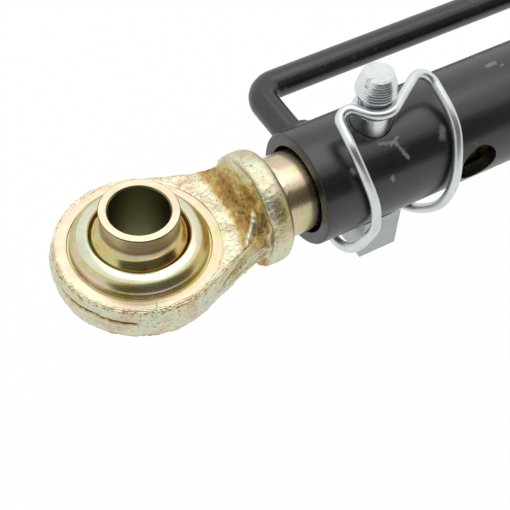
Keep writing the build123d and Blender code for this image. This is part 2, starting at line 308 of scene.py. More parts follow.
def new_material(name):
    """A material with only its Principled shader and its output."""
    made = bpy.data.materials.new(name)
    made.use_nodes = True
    return made, made.node_tree, made.node_tree.nodes["Principled BSDF"]


def new_group(name, inputs, outputs):
    """A shader node group with named sockets, each a name and a kind."""
    group = bpy.data.node_groups.new(name, "ShaderNodeTree")
    for label, kind in inputs:
        group.interface.new_socket(label, in_out="INPUT", socket_type="NodeSocket" + kind)
    for label, kind in outputs:
        group.interface.new_socket(label, in_out="OUTPUT", socket_type="NodeSocket" + kind)
    return group, group.nodes.new("NodeGroupInput").outputs, group.nodes.new("NodeGroupOutput").inputs


def use_group(tree, group, inputs):
    """Places a node group in a material with its own values."""
    made = tree.nodes.new("ShaderNodeGroup")
    made.node_tree = group
    for name, value in inputs.items():
        if isinstance(value, bpy.types.NodeSocket):
            tree.links.new(value, made.inputs[name])
        else:
            made.inputs[name].default_value = value
    return made.outputs


# %% [markdown]
# ### The yellow chromate film
#
# The rod ends are zinc plated and dipped in yellow chromate. The film is far
# thinner than paint, and its thickness decides its colour, so it wanders from
# straw yellow to olive, pink and a cold blue-grey, as oil does on water. Two
# noises of different size stand for the thickness, and a colour ramp turns the
# thickness into the film's colour. Several materials use it, so it is a node
# group.

# %% The chromate film as a node group
film_group, film_in, film_out = new_group(
    "Chromate film",
    [("Position", "Vector"), ("Patch size", "Float"), ("Thickness", "Float"), ("Variation", "Float")],
    [("Color", "Color"), ("Cloud", "Float")],
)
film_scaled = put(film_group, "VectorMath", {0: film_in["Position"]}, operation="SCALE")
film_per_patch = sums(film_group, "DIVIDE", 1.0, film_in["Patch size"])
film_group.links.new(film_per_patch, film_scaled.inputs["Scale"])
film_broad = put(
    film_group,
    "TexNoise",
    {"Vector": film_scaled.outputs[0], "Scale": 1.0, "Detail": 3.0, "Roughness": 0.55},
)
film_fine = put(
    film_group,
    "TexNoise",
    {"Vector": film_scaled.outputs[0], "Scale": 5.0, "Detail": 5.0, "Roughness": 0.65},
)
film_sway = sums(film_group, "SUBTRACT", film_broad.outputs["Fac"], 0.5)
film_flick = sums(film_group, "SUBTRACT", film_fine.outputs["Fac"], 0.5)
film_swing = sums(film_group, "MULTIPLY_ADD", film_flick, 0.45, film_sway)
film_depth = sums(film_group, "MULTIPLY_ADD", film_swing, film_in["Variation"], film_in["Thickness"])
film_colour = ramp(
    film_group,
    film_depth,
    [
        (0.00, (0.56, 0.66, 0.50)),
        (0.14, (0.73, 0.75, 0.56)),
        (0.30, (0.71, 0.66, 0.46)),
        (0.41, (0.71, 0.54, 0.41)),
        (0.52, (0.53, 0.55, 0.25)),
        (0.63, (0.62, 0.45, 0.17)),
        (0.76, (0.42, 0.25, 0.09)),
        (0.88, (0.30, 0.17, 0.06)),
        (1.00, (0.11, 0.07, 0.03)),
    ],
)
film_group.links.new(film_colour, film_out["Color"])
film_group.links.new(film_fine.outputs["Fac"], film_out["Cloud"])

# %% [markdown]
# ### Turned lines
#
# A lathe tool leaves fine rings. They depend only on the distance from the
# axis and the place along it, so noise that reads just those two numbers makes
# rings that never break. The group takes the two numbers, so each material can
# choose its own axis.

# %% Turned lines as a node group
lines_group, lines_in, lines_out = new_group(
    "Turned lines",
    [("Radius", "Float"), ("Along", "Float"), ("Lines per metre", "Float")],
    [("Lines", "Float")],
)
lines_place = put(lines_group, "CombineXYZ", {0: lines_in["Radius"], 1: lines_in["Along"]})
lines_scaled = put(lines_group, "VectorMath", {0: lines_place.outputs[0]}, operation="SCALE")
lines_group.links.new(lines_in["Lines per metre"], lines_scaled.inputs["Scale"])
lines_noise = put(
    lines_group,
    "TexNoise",
    {"Vector": lines_scaled.outputs[0], "Scale": 1.0, "Detail": 3.0, "Roughness": 0.6},
    noise_dimensions="2D",
)
lines_group.links.new(lines_noise.outputs["Fac"], lines_out["Lines"])


def round_axis(tree, position, axis, centre_x=0.0):
    """The distance from an axis and the place along it, from a position."""
    moved = put(tree, "VectorMath", {0: position, 1: (-centre_x * MM, 0, 0)}, operation="ADD")
    apart = put(tree, "SeparateXYZ", {0: moved.outputs[0]})
    along = apart.outputs[axis]
    across = [apart.outputs[name] for name in "XYZ" if name != axis]
    squares = [sums(tree, "MULTIPLY", side, side) for side in across]
    return sums(tree, "SQRT", sums(tree, "ADD", *squares)), along


# %% [markdown]
# The turned zinc is used on the balls, on the machined ring round each boss
# and on the rods. One function makes it, so that each of them can have its own
# axis, film, depth of line and painted shade. The lines drive both the bump and
# a little of the roughness, because the ridges shine more than the valleys.

# %% Turned zinc


def turned_zinc(name, axis, centre_x, thickness, variation=0.8, roughness=0.24, banding=0.25, shade=1.0):
    """Yellow zinc over a turned surface, with rings about its axis; a shade below 1 darkens it as painted
    shade.
    """
    made, tree, shader = new_material(name)
    position = put(tree, "TexCoord").outputs["Object"]
    radius, along = round_axis(tree, position, axis, centre_x)
    lines = use_group(
        tree, lines_group, {"Radius": radius, "Along": along, "Lines per metre": 2600.0}
    )["Lines"]
    bands = use_group(
        tree, lines_group, {"Radius": radius, "Along": along, "Lines per metre": 330.0}
    )["Lines"]
    depth = sums(tree, "MULTIPLY_ADD", sums(tree, "SUBTRACT", bands, 0.5), banding, thickness)
    film = use_group(
        tree,
        film_group,
        {"Position": position, "Patch size": 0.022, "Thickness": depth, "Variation": variation},
    )
    # a shade below 1 multiplies the film colour darker: painted shade
    colour = blend_colours(tree, 1.0, film["Color"], (shade, shade, shade), "MULTIPLY")
    tree.links.new(colour, shader.inputs["Base Color"])
    rough = sums(tree, "MULTIPLY_ADD", lines, 0.14, roughness - 0.07)
    rough = sums(tree, "MULTIPLY_ADD", film["Cloud"], 0.10, rough)
    tree.links.new(rough, shader.inputs["Roughness"])
    bump = put(tree, "Bump", {"Strength": 0.6, "Distance": 0.012 * MM, "Height": lines})
    tree.links.new(bump.outputs["Normal"], shader.inputs["Normal"])
    shader.inputs["Metallic"].default_value = 1.0
    return made


# %% [markdown]
# The forged skin is the same film over a rough surface. Scale and the hammer
# leave lumps a few millimetres wide, grains as fine as sandpaper, and small
# dark pits where the film pooled. The lumps are real geometry, made further
# down, and the grain is bump. The flat of the eye was pressed between dies,
# and the press left short marks that run out from the bore like rays.

# %% Forged zinc
FILM_AND_PAINTED_LIGHT_NAME = "film"
WHEEL_SLANT = math.radians(-37.0)
forged_zinc, forged_tree, forged_shader = new_material("forged_yellow_zinc")
forged_position = put(forged_tree, "TexCoord").outputs["Object"]
# the stored film holds the film's thickness plus painted shade in the crack and ring line and painted
# highlight on the ridge and the collar's top
forged_film_and_painted_light = put(forged_tree, "Attribute", attribute_name=FILM_AND_PAINTED_LIGHT_NAME).outputs["Fac"]
# the hollow up to the collar was dressed with a coarse wheel, which left slanting scratches
forged_turned = put(
    forged_tree, "Mapping", {"Vector": forged_position, "Rotation": (0.0, 0.0, WHEEL_SLANT)}
)
forged_stretched = put(
    forged_tree, "Mapping", {"Vector": forged_turned.outputs[0], "Scale": (0.14, 1.0, 0.14)}
)
forged_scratches = put(
    forged_tree,
    "TexNoise",
    {"Vector": forged_stretched.outputs[0], "Scale": 2200.0, "Detail": 3.0, "Roughness": 0.65},
)
forged_streaks = sums(
    forged_tree,
    "MULTIPLY",
    sums(forged_tree, "SUBTRACT", forged_scratches.outputs["Fac"], 0.5),
    sums(forged_tree, "MULTIPLY", forged_film_and_painted_light, 0.55),
)
forged_thickness = sums(forged_tree, "MULTIPLY_ADD", forged_film_and_painted_light, 0.52, 0.21)
forged_film = use_group(
    forged_tree,
    film_group,
    {
        "Position": forged_position,
        "Patch size": 0.008,
        "Thickness": sums(forged_tree, "ADD", forged_thickness, forged_streaks),
        "Variation": sums(forged_tree, "MULTIPLY_ADD", forged_film_and_painted_light, -0.65, 1.15),
    },
)
forged_grain = put(
    forged_tree,
    "TexNoise",
    {"Vector": forged_position, "Scale": 2000.0, "Detail": 4.0, "Roughness": 0.7},
)
forged_pits = put(
    forged_tree,
    "TexNoise",
    {"Vector": forged_position, "Scale": 1000.0, "Detail": 4.0, "Roughness": 0.65},
)
forged_dark = ramp(forged_tree, forged_pits.outputs["Fac"], [(0.33, 0.85), (0.43, 0.0)])
forged_colour = blend_colours(forged_tree, forged_dark, forged_film["Color"], (0.15, 0.11, 0.04))
forged_tree.links.new(forged_colour, forged_shader.inputs["Base Color"])
forged_rough = sums(forged_tree, "MULTIPLY_ADD", forged_grain.outputs["Fac"], 0.30, 0.21)
forged_tree.links.new(forged_rough, forged_shader.inputs["Roughness"])
forged_height = put(
    forged_tree,
    "Mix",
    {0: forged_film_and_painted_light, 2: forged_grain.outputs["Fac"], 3: forged_scratches.outputs["Fac"]},
)
forged_bump = put(
    forged_tree,
    "Bump",
    {"Strength": 1.0, "Distance": 0.17 * MM, "Height": forged_height.outputs[0]},
)
forged_tree.links.new(forged_bump.outputs["Normal"], forged_shader.inputs["Normal"])
forged_shader.inputs["Metallic"].default_value = 1.0

# %% Pressed zinc


def pressed_zinc(name, centre_x):
    """Pale film on the pressed flat of an eye, with marks that point at its bore."""
    made, tree, shader = new_material(name)
    position = put(tree, "TexCoord").outputs["Object"]
    film = use_group(
        tree,
        film_group,
        {"Position": position, "Patch size": 0.008, "Thickness": 0.28, "Variation": 0.9},
    )
    radius, height = round_axis(tree, position, "Z", centre_x)
    moved = put(tree, "VectorMath", {0: position, 1: (-centre_x * MM, 0, 0)}, operation="ADD")
    outward = put(tree, "VectorMath", {0: moved.outputs[0]}, operation="NORMALIZE")
    spread = put(tree, "SeparateXYZ", {0: outward.outputs[0]})
    rays = put(
        tree,
        "CombineXYZ",
        {
            "X": sums(tree, "MULTIPLY", spread.outputs["X"], 52.0),
            "Y": sums(tree, "MULTIPLY", spread.outputs["Y"], 52.0),
            "Z": sums(tree, "MULTIPLY", radius, 420.0),
        },
    )
    marks = put(tree, "TexNoise", {"Vector": rays.outputs[0], "Scale": 1.0, "Detail": 3.0, "Roughness": 0.6})
    grain = put(tree, "TexNoise", {"Vector": position, "Scale": 1500.0, "Detail": 4.0, "Roughness": 0.7})
    worn = sums(tree, "MULTIPLY_ADD", grain.outputs["Fac"], 0.5, marks.outputs["Fac"])
    dark = ramp(tree, worn, [(0.60, 0.75), (0.70, 0.0)])
    tree.links.new(blend_colours(tree, dark, film["Color"], (0.34, 0.27, 0.15)), shader.inputs["Base Color"])
    rough = sums(tree, "MULTIPLY_ADD", grain.outputs["Fac"], 0.25, 0.20)
    tree.links.new(rough, shader.inputs["Roughness"])
    height = sums(tree, "MULTIPLY_ADD", marks.outputs["Fac"], 1.6, grain.outputs["Fac"])
    bump = put(tree, "Bump", {"Strength": 0.9, "Distance": 0.10 * MM, "Height": height})
    tree.links.new(bump.outputs["Normal"], shader.inputs["Normal"])
    shader.inputs["Metallic"].default_value = 1.0
    return made


# %% [markdown]
# ### Black paint
#
# The tube and the handle are dipped in a satin black. Paint is no metal: it
# has a dark colour of its own and a soft sheen. It is never even, so a slow
# noise changes the roughness, a fine one gives orange peel, and a few smears
# and chips show where the link was handled. Each smear is one use of a node
# group, which asks how far a point lies from a short line and frays the edge.

# %% Satin black paint
smear_group, smear_in, smear_out = new_group(
    "Smear",
    [("Position", "Vector"), ("Start", "Vector"), ("End", "Vector"), ("Width", "Float")],
    [("Mask", "Float")],
)
smear_run = put(smear_group, "VectorMath", {0: smear_in["End"], 1: smear_in["Start"]}, operation="SUBTRACT")
smear_way = put(
    smear_group,
    "VectorMath",
    {0: smear_in["Position"], 1: smear_in["Start"]},
    operation="SUBTRACT",
)
smear_dot = put(
    smear_group,
    "VectorMath",
    {0: smear_run.outputs[0], 1: smear_way.outputs[0]},
    operation="DOT_PRODUCT",
)
smear_long = put(
    smear_group,
    "VectorMath",
    {0: smear_run.outputs[0], 1: smear_run.outputs[0]},
    operation="DOT_PRODUCT",
)
smear_share = put(
    smear_group,
    "Clamp",
    {"Value": sums(smear_group, "DIVIDE", smear_dot.outputs["Value"], smear_long.outputs["Value"])},
)
smear_along = put(smear_group, "VectorMath", {0: smear_run.outputs[0]}, operation="SCALE")
smear_group.links.new(smear_share.outputs[0], smear_along.inputs["Scale"])
smear_off = put(
    smear_group,
    "VectorMath",
    {0: smear_way.outputs[0], 1: smear_along.outputs[0]},
    operation="DISTANCE",
)
smear_fray = put(
    smear_group,
    "TexNoise",
    {"Vector": smear_in["Position"], "Scale": 900.0, "Detail": 5.0, "Roughness": 0.75},
)
smear_reach = sums(smear_group, "DIVIDE", smear_off.outputs["Value"], smear_in["Width"])
smear_inside = sums(smear_group, "SUBTRACT", smear_reach, 1.1)
smear_ragged = sums(smear_group, "MULTIPLY_ADD", smear_fray.outputs["Fac"], 2.2, smear_inside)
smear_mask = ramp(smear_group, smear_ragged, [(0.35, 0.85), (1.0, 0.0)])
smear_group.links.new(smear_mask, smear_out["Mask"])


def paint_finish(name, roughness, unevenness, peel_depth, smears=()):
    """Dipped black paint with clouds of gloss, orange peel, pale scuffs and the smears given."""
    made, tree, shader = new_material(name)
    position = put(tree, "TexCoord").outputs["Object"]
    cloud = put(tree, "TexNoise", {"Vector": position, "Scale": 55.0, "Detail": 5.0, "Roughness": 0.6})
    peel = put(tree, "TexNoise", {"Vector": position, "Scale": 1300.0, "Detail": 3.0, "Roughness": 0.6})
    scuffs = put(
        tree,
        "TexNoise",
        {"Vector": position, "Scale": 130.0, "Detail": 6.0, "Roughness": 0.75, "Distortion": 0.6},
    )
    marks = ramp(tree, scuffs.outputs["Fac"], [(0.62, 0.0), (0.76, 1.0)])
    for start, end, width in smears:
        smear = use_group(
            tree,
            smear_group,
            {"Position": position, "Start": Vector(start) * MM, "End": Vector(end) * MM, "Width": width * MM},
        )
        marks = sums(tree, "MAXIMUM", marks, smear["Mask"])
    black = ramp(tree, cloud.outputs["Fac"], [(0.3, 0.005), (0.75, 0.010)])
    tree.links.new(blend_colours(tree, marks, black, (0.16, 0.16, 0.155)), shader.inputs["Base Color"])
    rough = sums(tree, "MULTIPLY_ADD", cloud.outputs["Fac"], unevenness, roughness)
    tree.links.new(rough, shader.inputs["Roughness"])
    bump = put(
        tree, "Bump", {"Strength": 0.35, "Distance": peel_depth * MM, "Height": peel.outputs["Fac"]}
    )
    tree.links.new(bump.outputs["Normal"], shader.inputs["Normal"])
    shader.inputs["Specular IOR Level"].default_value = 0.8
    return made


black_paint = paint_finish("satin_black_paint", 0.20, 0.18, 0.03)

# %% [markdown]
# ### Bright zinc
#
# The pin and the clip are zinc plated without the yellow. The film is clear
# with a cold cast, and the steel under it was drawn or turned, so it shines
# with small dark specks. The pin's forged head is duller than its turned stem,
# so it has the same finish with more roughness, and its colour is darkened as painted shade.

# %% Bright zinc


def bright_zinc(name, roughness, speck_scale, bump_depth, shade=1.0):
    """Clear, cold zinc with fine specks; a shade below 1 darkens its colour as painted shade."""
    made, tree, shader = new_material(name)
    position = put(tree, "TexCoord").outputs["Object"]
    cloud = put(tree, "TexNoise", {"Vector": position, "Scale": 120.0, "Detail": 4.0, "Roughness": 0.6})
    specks = put(
        tree,
        "TexNoise",
        {"Vector": position, "Scale": speck_scale, "Detail": 4.0, "Roughness": 0.7},
    )
    pale = ramp(
        tree,
        cloud.outputs["Fac"],
        [(0.3, (0.63, 0.68, 0.70)), (0.55, (0.74, 0.77, 0.77)), (0.8, (0.67, 0.67, 0.64))],
    )
    dark = ramp(tree, specks.outputs["Fac"], [(0.28, 0.8), (0.36, 0.0)])
    spotted = blend_colours(tree, dark, pale, (0.24, 0.25, 0.25))
    dulled = blend_colours(tree, 1.0, spotted, (shade, shade, shade), "MULTIPLY")
    tree.links.new(dulled, shader.inputs["Base Color"])
    rough = sums(tree, "MULTIPLY_ADD", specks.outputs["Fac"], 0.16, roughness - 0.08)
    tree.links.new(rough, shader.inputs["Roughness"])
    bump = put(tree, "Bump", {"Strength": 0.5, "Distance": bump_depth * MM, "Height": specks.outputs["Fac"]})
    tree.links.new(bump.outputs["Normal"], shader.inputs["Normal"])
    shader.inputs["Metallic"].default_value = 1.0
    return made


pin_zinc = bright_zinc("bright_zinc", 0.25, 900.0, 0.02)
# the head is rougher than the stem, and its colour is darkened to 0.62 as painted shade
head_zinc_painted_shade = bright_zinc("dull_painted_shade_zinc", 0.42, 600.0, 0.05, shade=0.62)
wire_zinc = bright_zinc("spring_wire", 0.33, 1100.0, 0.02)


# %% [markdown]
# Each finished piece gets its material, hides the imported node it stands in
# for and rides on its body. One function does the three, so none is forgotten.

# %% Hand a piece over


def hand_over(piece, body, node, slot, *materials):
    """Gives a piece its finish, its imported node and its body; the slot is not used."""
    if materials:
        piece.data.materials.clear()
        for material in materials:
            piece.data.materials.append(material)
    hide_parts(node)
    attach(piece, body)
    triangles = sum(len(face.vertices) - 2 for face in piece.data.polygons)
    print(piece.name, "has", triangles, "triangles")


# %% [markdown]
# ## The balls
#
# Each ball was turned from one bar: a round band that sits in the eye, and a
# sleeve above and below it with a bore from end to end. The foot of the sleeve
# has a small bright fillet where the ball starts.

# %% Both balls
sleeve_radius = ball_bore + 3.4
sleeve_waist = sleeve_radius - 0.5
foot_height = math.sqrt(ball_radius**2 - (sleeve_radius + 0.5) ** 2)
BAND_STEPS = 40


def ball_outline():
    """The outline of a ball from its bore round the band and back."""
    half = ball_half_width
    sleeve = [
        (ball_bore, half - 0.5),
        (ball_bore + 0.5, half),
        (sleeve_radius - 0.35, half),
        (sleeve_radius, half - 0.35),
        (sleeve_radius - 0.15, half - 1.8),
        (sleeve_waist, foot_height + 2.6),
        (sleeve_waist + 0.1, foot_height + 0.9),
        (sleeve_waist + 0.45, foot_height + 0.25),
    ]
    band = []
    reach = math.asin(foot_height / ball_radius)
    for step in range(BAND_STEPS + 1):
        angle = reach - 2 * reach * step / BAND_STEPS
        band.append((ball_radius * math.cos(angle), ball_radius * math.sin(angle)))
    return sleeve + band + [(radius, -height) for radius, height in reversed(sleeve)]


def face_centres(piece):
    """The middle of each face as an array in millimetres."""
    flat = np.empty(len(piece.data.polygons) * 3, np.float32)
    piece.data.polygons.foreach_get("center", flat)
    return flat.reshape(-1, 3).astype(float) / MM


def give_materials(piece, kinds, materials):
    """Gives each face the material that its number in kinds stands for."""
    piece.data.materials.clear()
    for material in materials:
        piece.data.materials.append(material)
    piece.data.polygons.foreach_set("material_index", kinds.astype(np.int32))
    piece.data.update()


for end, centre_x in (("front", 0.0), ("rear", rear_eye_x)):
    ball = lathe(f"{end}_bored_ball", ball_outline(), Matrix.Translation((centre_x, 0, 0)), steps=192)
    middles = face_centres(ball)
    from_axis = np.hypot(middles[:, 0] - centre_x, middles[:, 1])
    kinds = np.ones(len(middles))
    kinds[np.abs(middles[:, 2]) > ball_half_width - 0.3] = 0
    # the bore takes the darkened bore zinc: painted shade inside the bore
    kinds[from_axis < ball_bore + 0.3] = 2
    kinds[(from_axis > ball_bore + 1.0) & (from_axis < sleeve_radius + 0.05) & (kinds == 1)] = 3
    # the sleeve's outer chamfer takes the same darkened zinc: a painted dark edge
    kinds[(from_axis > sleeve_radius - 0.3) & (kinds == 0)] = 2
    finishes = [
        turned_zinc(f"{end}_sleeve_rim_zinc", "Z", centre_x, thickness=0.37, variation=0.6, roughness=0.24),
        turned_zinc(
            f"{end}_ball_zinc", "Z", centre_x, thickness=0.66, variation=1.1, roughness=0.16, banding=0.5
        ),
        # shade 0.38 darkens this zinc: painted shade for the bore and the sleeve chamfer
        turned_zinc(
            f"{end}_bore_painted_shade_zinc", "Z", centre_x, thickness=0.52, variation=0.4, roughness=0.32, shade=0.38
        ),
        turned_zinc(
            f"{end}_sleeve_zinc", "Z", centre_x, thickness=0.44, variation=1.0, roughness=0.26, banding=0.5
        ),
    ]
    give_materials(ball, kinds, finishes)
    hand_over(ball, f"{end}_ball_body", f"{end}_ball", "ball_steel")

# %% [markdown]
# ## The forged rod ends
#
# The eye, the neck and the collar are one forging, so their surfaces flow into
# each other, while the ring round the boss, the swaged lip and the rod were
# turned afterwards and have crisp edges. The two kinds of surface are made in
# two ways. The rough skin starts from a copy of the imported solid, which a
# voxel remesh turns into one even net of small faces that can be pushed about.
# The machined parts are spun on the lathe and then joined to it.

# %% Sizes of the machined parts
seat_radius = ball_radius + 0.07
lip_mouth = seat_radius * math.cos(math.radians(34.0))
seat_top = seat_radius * math.sin(math.radians(34.0))
lip_top = seat_top + 1.2
boss_radius = seat_radius + 3.43
boss_edge_height = lip_top - 3.9
spot_radius = boss_radius + 4.7
spot_height = 7.1
groove_depth = 0.8
groove_width = 1.1
eye_thickness = 7.4
eye_radius = -node_box("front_rod_end")[0].x - 0.01
neck_rise_x = 32.5
collar_back_x = 45.4
collar_face_x = 54.0
rod_radius = 16.0
BOSS_OVERLAP = 0.5


def arc_through(start, middle, end, steps):
    """Points on the circle through three places, from the first to the last."""
    (ax, ay), (bx, by), (cx, cy) = start, middle, end
    twice = 2 * (ax * (by - cy) + bx * (cy - ay) + cx * (ay - by))
    a2, b2, c2 = ax * ax + ay * ay, bx * bx + by * by, cx * cx + cy * cy
    centre_x = (a2 * (by - cy) + b2 * (cy - ay) + c2 * (ay - by)) / twice
    centre_y = (a2 * (cx - bx) + b2 * (ax - cx) + c2 * (bx - ax)) / twice
    radius = math.hypot(ax - centre_x, ay - centre_y)
    first = math.atan2(ay - centre_y, ax - centre_x)
    last = math.atan2(cy - centre_y, cx - centre_x)
    turns = [first + (last - first) * step / steps for step in range(steps + 1)]
    return [(centre_x + radius * math.cos(turn), centre_y + radius * math.sin(turn)) for turn in turns]


def boss_outline():
    """Outline of the machined eye: seat, lip, boss, groove and flat ring."""
    crown_start = (lip_mouth + 0.9, lip_top)
    crown_middle = (
        lip_mouth + (boss_radius - lip_mouth) * 0.60,
        lip_top - (lip_top - boss_edge_height) * 0.26,
    )
    crown_end = (boss_radius, boss_edge_height)
    mouth = round_corners(
        [(lip_mouth, seat_top), (lip_mouth + 0.35, lip_top - 0.45), crown_start],
        [0, 0.5, 0],
        closed=False,
    )
    foot = round_corners(
        [
            crown_end,
            (boss_radius, spot_height - groove_depth),
            (boss_radius + groove_width, spot_height - groove_depth),
            (boss_radius + groove_width, spot_height),
            (spot_radius + BOSS_OVERLAP, spot_height),
        ],
        [0, 0.3, 0.3, 0.15, 0],
        closed=False,
    )
    upper = [(point.x, point.y) for point in mouth[:-1]]
    upper += arc_through(crown_start, crown_middle, crown_end, 16)
    upper += [(point.x, point.y) for point in foot[1:]]
    seat = []
    for step in range(13):
        angle = math.radians(-34.0 + 68.0 * step / 12)
        seat.append((seat_radius * math.cos(angle), seat_radius * math.sin(angle)))
    lower = [(radius, -height) for radius, height in reversed(upper)]
    return seat[1:-1] + upper + lower


# %% [markdown]
# The skin is worked on as numbers: all its points are read into one array,
# pushed, and written back. `noise.fractal` gives the lumps, and the mask keeps
# them off the places that the lathe has cleaned up.

# %% Shape the forged skin
SKIN_VOXEL = 0.42
skin = frame["nodes"]["front_rod_end"].copy()
skin.data = skin.data.copy()
skin.name = "forged_skin"
skin.parent = None
for key in list(skin.keys()):
    del skin[key]
bpy.context.scene.collection.objects.link(skin)
work = bmesh.new()
work.from_mesh(skin.data)
bmesh.ops.remove_doubles(work, verts=work.verts, dist=1e-6)
work.to_mesh(skin.data)
work.free()
rod_stub_x = collar_face_x + 4.0
keep_box = make_piece(
    "keep",
    [(x, y, z) for x in (-60, rod_stub_x) for y in (-60, 60) for z in (-60, 60)],
    [(0, 1, 3, 2), (4, 6, 7, 5), (0, 4, 5, 1), (2, 3, 7, 6), (0, 2, 6, 4), (1, 5, 7, 3)],
)
combine(skin, keep_box, "INTERSECT")
net = skin.modifiers.new("Net", "REMESH")
net.mode = "VOXEL"
net.voxel_size = SKIN_VOXEL * MM
ease = skin.modifiers.new("Ease", "SMOOTH")
ease.factor = 0.5
ease.iterations = 5
settle(skin)
print("skin has", len(skin.data.vertices), "points")


def read_points(piece):
    """The piece's points as an array in millimetres."""
    flat = np.empty(len(piece.data.vertices) * 3, np.float32)
    piece.data.vertices.foreach_get("co", flat)
    return flat.reshape(-1, 3).astype(float) / MM


def read_normals(piece):
    """The piece's point normals as an array."""
    flat = np.empty(len(piece.data.vertices) * 3, np.float32)
    piece.data.vertex_normals.foreach_get("vector", flat)
    return flat.reshape(-1, 3).astype(float)


def write_points(piece, points):
    """Writes an array in millimetres back to the piece's points."""
    piece.data.vertices.foreach_set("co", (points * MM).astype(np.float32).ravel())
    piece.data.update()


def smooth_step(low, high, values):
    """Rises from 0 at low to 1 at high, with soft ends."""
    share = np.clip((values - low) / (high - low), 0, 1)
    return share * share * (3 - 2 * share)


def lumps(points, size, octaves, shift=0.0):
    """Fractal noise at each point, with lumps of the given size in millimetres."""
    return np.array(
        [noise.fractal(Vector(point) / size + Vector((shift, 0, 0)), 1.0, 2.0, octaves) for point in points]
    )


# %% [markdown]
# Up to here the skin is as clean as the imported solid. Now it gets what a
# hammer and two dies do to hot steel, in this order: the back edge of the
# collar wanders, the corners beside the neck are pinched into ragged ridges,
# the walls sink beside the parting line, flash stands up along it, a crack
# opens in it on the near side, the eye's rim is worn round, and the whole
# surface gets its lumps. Each is a push along X or along the normals.

# %% Press and hammer the skin
RIDGE_FOOT = (32.8, 19.2)
RIDGE_TIP = (41.1, 11.1)
HOLLOW_PLACES = (16.0, 27.0, 32.0, 38.0, 43.0)
HOLLOW_HEIGHTS = (1.2, 4.5, 5.6, 7.0, 7.0)
SEAM_PLACES = (17.0, 25.0, 30.0, 35.0, 39.0)
SEAM_HEIGHTS = (0.2, 0.6, 1.1, 1.9, 1.7)

skin_points = read_points(skin)
skin_normals = read_normals(skin)
collar_edge = smooth_step(neck_rise_x, collar_back_x, skin_points[:, 0])
collar_edge *= 1 - smooth_step(collar_back_x + 1.2, collar_back_x + 5.5, skin_points[:, 0])
skin_points[:, 0] -= collar_edge * (1.8 + 0.9 * lumps(skin_points, 7.0, 2, 13.0))

along, near, height = skin_points[:, 0], -skin_points[:, 1], np.abs(skin_points[:, 2])
on_top = smooth_step(0.2, 0.6, np.abs(skin_normals[:, 2]))
on_wall = smooth_step(0.6, 0.9, np.abs(skin_normals[:, 1]))
before_collar = 1 - smooth_step(40.0, 43.0, along)
ragged = lumps(skin_points, 1.7, 3, 11.0)


def past_ridge(along, near):
    """How far a place lies beyond the ragged ridge, towards the side."""
    run_along, run_near = np.subtract(RIDGE_TIP, RIDGE_FOOT)
    length = math.hypot(run_along, run_near)
    return ((near - RIDGE_FOOT[1]) * run_along - (along - RIDGE_FOOT[0]) * run_near) / length


def ridge_line(points, along, near):
    """1 on the crest of the ragged ridge, falling to 0 beside it."""
    wander = 0.45 * lumps(points, 1.9, 2, 11.0)
    crest = np.exp(-(((past_ridge(along, near) + wander) / 1.0) ** 4))
    return crest * smooth_step(31.5, 33.5, along) * (1 - smooth_step(39.5, 42.0, along))


beyond_ridge = past_ridge(along, near)
facet = smooth_step(0.2, 2.4, beyond_ridge) * smooth_step(32.0, 34.0, along) * before_collar
ridge = ridge_line(skin_points, along, near)
from_line = np.hypot(near, height)
fill = smooth_step(35.0, 41.5, along) * (1 - smooth_step(44.5, 46.0, along))
fill *= smooth_step(6.2, 8.0, height) * (1 - smooth_step(17.5, 20.5, from_line))

hollow_top = np.interp(along, HOLLOW_PLACES, HOLLOW_HEIGHTS)
hollow = smooth_step(0.5, 1.6, height) * (1 - smooth_step(hollow_top - 1.4, hollow_top, height))
hollow *= smooth_step(14.0, 20.0, along) * (1 - smooth_step(42.0, 44.0, along))


def seam_line(points, along):
    """1 along the ragged flash where the two dies met, falling to 0 beside it."""
    middle = np.interp(along, SEAM_PLACES, SEAM_HEIGHTS) + 0.35 * lumps(points, 4.0, 2, 3.0)
    line = np.exp(-(((points[:, 2] - middle) / 0.65) ** 2))
    return line * smooth_step(12, 18, along) * (1 - smooth_step(40.0, 43.0, along))


seam = seam_line(skin_points, along)



def crack_line(points, along, across, width):
    """1 along the forging crack round the far end of the eye, falling to 0 beside it."""
    turn = np.degrees(np.arctan2(-across, -along))
    wander = 0.5 * lumps(points, 7.0, 2, 9.0)
    line = np.exp(-(((points[:, 2] - 2.2 + wander) / width) ** 2))
    return line * smooth_step(-8, 8, turn) * (1 - smooth_step(54, 66, turn))


on_band = smooth_step(collar_back_x + 2.0, collar_back_x + 4.0, along)
crack_floor = crack_line(skin_points, along, -near, 0.45)
crack_lips = crack_line(skin_points, along, -near, 1.1) - crack_floor
push = 0.26 * lumps(skin_points, 4.5, 3) * (1 - 0.4 * on_band)
push += 0.13 * lumps(skin_points, 1.3, 3, 7.0) * (1 - 0.8 * on_band)
push += on_top * (ridge * (0.8 + 0.3 * ragged) - 0.6 * facet) + 1.6 * fill
push += on_wall * (seam * (0.5 + 0.25 * ragged) - 0.45 * hollow)
push += 0.35 * crack_lips - 0.7 * crack_floor
rim = np.exp(-(((np.abs(skin_normals[:, 2]) - 0.7) / 0.25) ** 2)) * smooth_step(5.5, 6.5, height)
push -= 0.55 * rim * (1 - smooth_step(18.0, 32.0, along))
pushed = skin_points + skin_normals * push[:, None]
pushed[:, 1] = np.clip(pushed[:, 1], -eye_radius, eye_radius)
pushed[:, 0] = np.maximum(pushed[:, 0], -eye_radius)
write_points(skin, pushed)

# %% [markdown]
# The lathe takes the rough skin away round the boss and in front of the collar
# and leaves its own surfaces there. A plain cylinder clears the space, and the
# machined body is then joined on.

# %% Join the machined parts to the skin
drill(skin, spot_radius, (0, 0, -40), (0, 0, 40))
boss = lathe("boss", boss_outline(), UPRIGHT, steps=192)
combine(skin, boss, "UNION")


